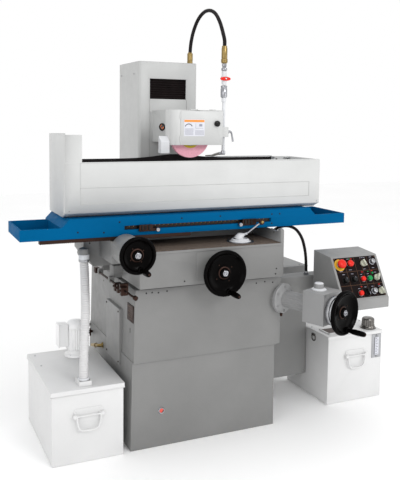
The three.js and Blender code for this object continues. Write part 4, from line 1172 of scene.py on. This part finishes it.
def console_details():
    make("console_panel", PANEL_BLACK, "base", slab(10, 224, 6, 182, -0.5, 0.7), bevel=0.4)
    make("console_grid", BRONZE, "base",
         *[slab(a - 0.7, a + 0.7, 8, 180, 0.5, 0.92) for a in (61, 112, 144, 178)],
         *[slab(12, 222, d - 0.7, d + 0.7, 0.5, 0.92) for d in (68, 127)])
    make("console_panel_screws", BRONZE, "base",
         *[lathe([(2.6, 0), (2.6, 0.8), (0, 1.3)], on_panel(*place), PANEL_OUT, 14)
           for place in grid((14, 220), (10, 178), [0.6])])
    legends("legends_red", RED, RED_LEGENDS, 1.2)
    legends("legends_green", GREEN, GREEN_LEGENDS, 1.2)
    legends("legends_pale", PALE_INK, PALE_LEGENDS, 1)
    make("stop_ring", STOP_YELLOW, "base",
         panel_ring([(13, 0.5), (25, 0.5), (25, 1.8), (24, 2.6), (13, 2.6)], 33, 37, 40))
    low = [(10.9, 0.5), (13.4, 0.5), (13.4, 2.4), (12.4, 4.4), (10.9, 4.4)]
    high = [(9.6, 0.5), (13, 0.5), (13, 3), (11.6, 5), (9.6, 5)]
    make("button_collars", CHROME, "base",
         *[panel_ring(low, *place) for place in ((128, 105), (162, 105), (98, 164))],
         *[panel_ring(high, *place) for place in ((33, 37), (80, 36))])
    mushroom_button("emergency_stop", 33, 37, 19, 26)
    mushroom_button("stop_button", 80, 36, 14, 18)
    push_button("red_button_1", 128, 105, 10.4, RED, 10)
    push_button("green_button", 162, 105, 10.4, GREEN, 10)
    push_button("red_button_2", 98, 164, 10.4, RED, 10)
    make("lamp_small", RED_GLASS, "base",
         lathe([(6, 0.5), (6, 4), (4, 6.5), (0, 7.4)], on_panel(102, 34), PANEL_OUT, 24))
    make("lamp_green", GREEN, "base",
         lathe([(4.4, 0.5), (4.4, 3), (3, 4.6), (0, 5.2)], on_panel(186, 82), PANEL_OUT, 20))
    selector("selector_1", 152, 38, CREAM, 18)
    selector("selector_2", 201, 103, CREAM, -28)
    selector("selector_3", 131, 163, BLACK, 8)
    selector("selector_4", 204, 162, CREAM, 24)
    dial("speed_dial_1", 198, 34, 12, STEEL)
    dial("speed_dial_2", 167, 160, 12, STEEL)
    dial("feed_knob_left", 40, 104, 13, BLACK)
    dial("feed_knob_right", 84, 103, 13, BLACK)
    gland, nut = (528, -262, 618), (325.2, -240, 806)
    make("conduit_gland", STEEL, "base", lathe([(13, 0), (13, 6), (11, 7)], gland, UP, 6),
         ring([(7.3, 6), (10, 6), (10, 11), (8, 14), (7.3, 14)], gland, UP, 24))
    make("conduit_nut", STEEL, "saddle", lathe([(13, -2), (13, 4), (11, 5)], nut, RIGHT, 6),
         ring([(7.3, 4), (10, 4), (10, 10), (8, 13), (7.3, 13)], nut, RIGHT, 24))
    # The vents are flush black strips in the side: painted shade for the dark openings.
    make("console_vents", BLACK, "base",
         *[box(748.8, 750, y, y + 3, 600, 660) for y in range(-440, -370, 9)])
    places = ((-352, 730), (-352, 536), (-540, 536))
    screws("console_screws", "base", RIGHT, [(750, y, z) for y, z in places], 3.4, 2)


# ---- electrical cabinet --------------------------------------------------
def cabinet_details():
    screws("cabinet_screws", "base", FRONT, grid((356, 632), [-100], (102, 604)), 3.4, 2)
    make("cabinet_top_flange", GREY, "base", box(346, 643, -101.5, 134, 612, 617.4), bevel=1.2)
    screws("cabinet_top_screws", "base", UP, grid((372, 612), (-76, 110), [617.4]), 4, 2.4)
    gland = [(14, 0), (14, 5), (11, 7), (11, 18), (8, 21)]
    make("cabinet_glands", BLACK, "base",
         *[lathe(gland, (x, -60, 90), (0, 0, -1), 24) for x in (400, 440)])
    make("cabinet_vents", GREY, "cabinet_door",
         *[prism([(141.6, z), (146.6, z + 2), (146.6, z + 4), (141.6, z + 8)], "x", 420, 560)
           for z in range(150, 250, 14)], bevel=0.5)
    make("cabinet_lock", CHROME, "cabinet_door", box(364, 382, 141, 145, 325, 395),
         lathe([(7, 0), (7, 5), (5, 6)], (373, 145, 360), BACK, 24), bevel=1)
    make("cabinet_hinges", STEEL, "base",
         *[rod(4, (646.5, 143, z), (646.5, 143, z + 40), 16) for z in (140, 530)], angle=30)


# ---- tanks ---------------------------------------------------------------
def bail_handle(node, centre_x, front, pivot_z):
    """A wire handle that hangs from two ears on a plate."""
    y, half, drop, inner = front - 14, 46, 52, 34
    left_side = [(-half, 1), (-half, -4), (1 - half, -drop * 0.45), (-inner, -drop)]
    right_side = [(-x, z) for x, z in left_side[::-1]]
    route = [(centre_x + x, y, pivot_z + z) for x, z in (*left_side, (0, -drop - 6), *right_side)]
    make(f"{node}_wire", WHITE, node, tube(smooth_path(route, 5), 4, 14), angle=60,
         stands_for=(node,))
    pin = [(centre_x + s * (half + 2), y, pivot_z) for s in (-1, 1)]
    make(f"{node}_pin", WHITE, node, rod(3.4, *pin, 14), angle=60)
    plate = rounded(centre_x - 56, centre_x + 56, pivot_z - 26, pivot_z + 26, 10)
    make(f"{node}_plate", WHITE, "base", prism(plate, "y", front - 2.6, front + 0.5), bevel=0.9)
    ears = [(centre_x + s * (half + 7), front - 0.5, pivot_z) for s in (-1, 1)]
    make(f"{node}_ears", WHITE, "base",
         *[lathe([(9, 0), (9, 14), (6, 17)], ear, FRONT, 20) for ear in ears], bevel=0.6)
    rivets = [(centre_x + s * 46, front - 2.4, pivot_z + 18) for s in (-1, 1)]
    make(f"{node}_rivets", WHITE, "base",
         *[lathe([(3.6, 0), (3, 1.6), (0, 2.4)], rivet, FRONT, 16) for rivet in rivets])


def coolant_tank():
    rim = [(-634, -361, 271), (-350, -361, 271), (-350, 106, 271), (-634, 106, 271)]
    make("coolant_lid_roll", WHITE, "base", tube(rim, 2.6, 10, closed=True), angle=60)
    make("inlet_box", WHITE, "base", box(-522, -472, -340, -280, 287, 306), bevel=3)
    make("inlet_cuff", PLASTIC, "base",
         ring([(19, 0), (22.5, 0), (22.5, 6), (20.6, 8), (19, 8)], (-497, -310, 305.6), UP, 36))
    screws("coolant_lid_screws", "base", UP,
           [(-608, -60, 287.4), (-608, 70, 287.4), (-380, 70, 287.4)], 3.4, 1.6)
    foot = Vector((-444, 20, 288))
    lower = [(48, 0), (48, 8), (46, 10), (32, 13), (30, 16), (30, 31), (36, 33)]
    cowl = [(41, 0), (43, 2), (43, 10), (40, 20), (32, 30), (12, 35), (0, 36)]
    make("pump_motor", PUMP_WHITE_LIT, "base", lathe(lower, foot, UP, 44),
         fluted(43, 2.2, 26, foot + UP * 33, UP, 86), lathe(cowl, foot + UP * 118, UP, 44),
         angle=45, stands_for=("coolant_pump",))
    make("pump_terminal_box", PUMP_WHITE_LIT, "base", box(-520, -482, -6, 46, 336, 430), bevel=3)
    make("pump_terminal_lid", PUMP_WHITE_LIT, "base", box(-523, -519, -8, 48, 334, 432), bevel=1.2)
    make("pump_terminal_neck", PUMP_WHITE_LIT, "base", box(-486, -470, 4, 36, 348, 408), bevel=1)
    screws("pump_foot_screws", "base", UP,
           around(foot + UP * 8, RIGHT, BACK, 41, (0.8, 2.4, 3.9, 5.5)), 3.6, 3)


def hydraulic_tank():
    top = 319.5
    make("hatch_frame", WHITE, "base",
         box(668, 756, -250, -242, top, top + 5), box(668, 756, -178, -170, top, top + 5),
         box(668, 676, -250, -170, top, top + 5), box(748, 756, -250, -170, top, top + 5), bevel=1)
    make("hatch_plate", DARK_STEEL, "base",
         box(676, 748, -242, -178, top + 3.6, top + 4.9), bevel=0.4)
    seat = Vector((908, -226, top + 0.4))
    make("filler_cap_top", OLD_CHROME, "filler_cap",
         lathe([(34, 3), (34, 8), (31, 11), (31, 15)], seat, UP, 48),
         fluted(29.5, 2.4, 16, seat + UP * 15, UP, 28),
         lathe([(28.4, 0), (27, 4), (22, 7), (0, 8)], seat + UP * 43, UP, 48),
         angle=45, stands_for=("filler_cap",))
    make("filler_flange", OLD_CHROME, "base",
         ring([(20, 0), (38, 0), (38, 1.6), (36, 2.6), (20, 2.6)], seat, UP, 48))
    screws("filler_flange_screws", "base", UP,
           around(seat + UP * 1.4, RIGHT, BACK, 36, (0.4, 2.0, 3.5, 5.1)), 1.8, 1.0)
    make("gauge_back", STEEL, "base", box(893, 945, -279.5, -276.5, 190, 302), bevel=0.8)
    make("gauge_tube", LABEL, "base", box(908, 930, -284, -279, 204, 288), bevel=2.5, segments=3)
    make("gauge_marks", INK, "base",
         *[box(911, 919 if k % 2 else 924, -284.7, -283.7, 210 + 8 * k, 211.6 + 8 * k)
           for k in range(10)])
    screws("gauge_screws", "base", FRONT, grid([919], [-279.5], (197, 295)), 4.6, 4)
    loop = around((646, -160, 284), BACK, UP, 15, full_turn(24))
    make("side_ring", OLD_CHROME, "base", tube(loop, 2.6, 10, closed=True),
         box(640, 650, -170, -150, 294, 303), angle=60)
    places = [*grid((662, 938), (-120, 56), [top]), (800, -264, top), (800, 56, top)]
    screws("hydraulic_lid_screws", "base", UP, places, 3.4, 2)
    make("hydraulic_motor", WHITE, "base", lathe([(58, 0), (58, 6), (52, 8)], (800, -40, top)))


base_details()
column_details()
head_details()
pipe_details()
table_details()
guard_details()
rear_curtain()
saddle_details()
wheels()
elevation_details()
console_details()
cabinet_details()
bail_handle("coolant_tank_handle", -492, -358, 186)
bail_handle("hydraulic_tank_handle", 799.5, -277, 218)
coolant_tank()
hydraulic_tank()
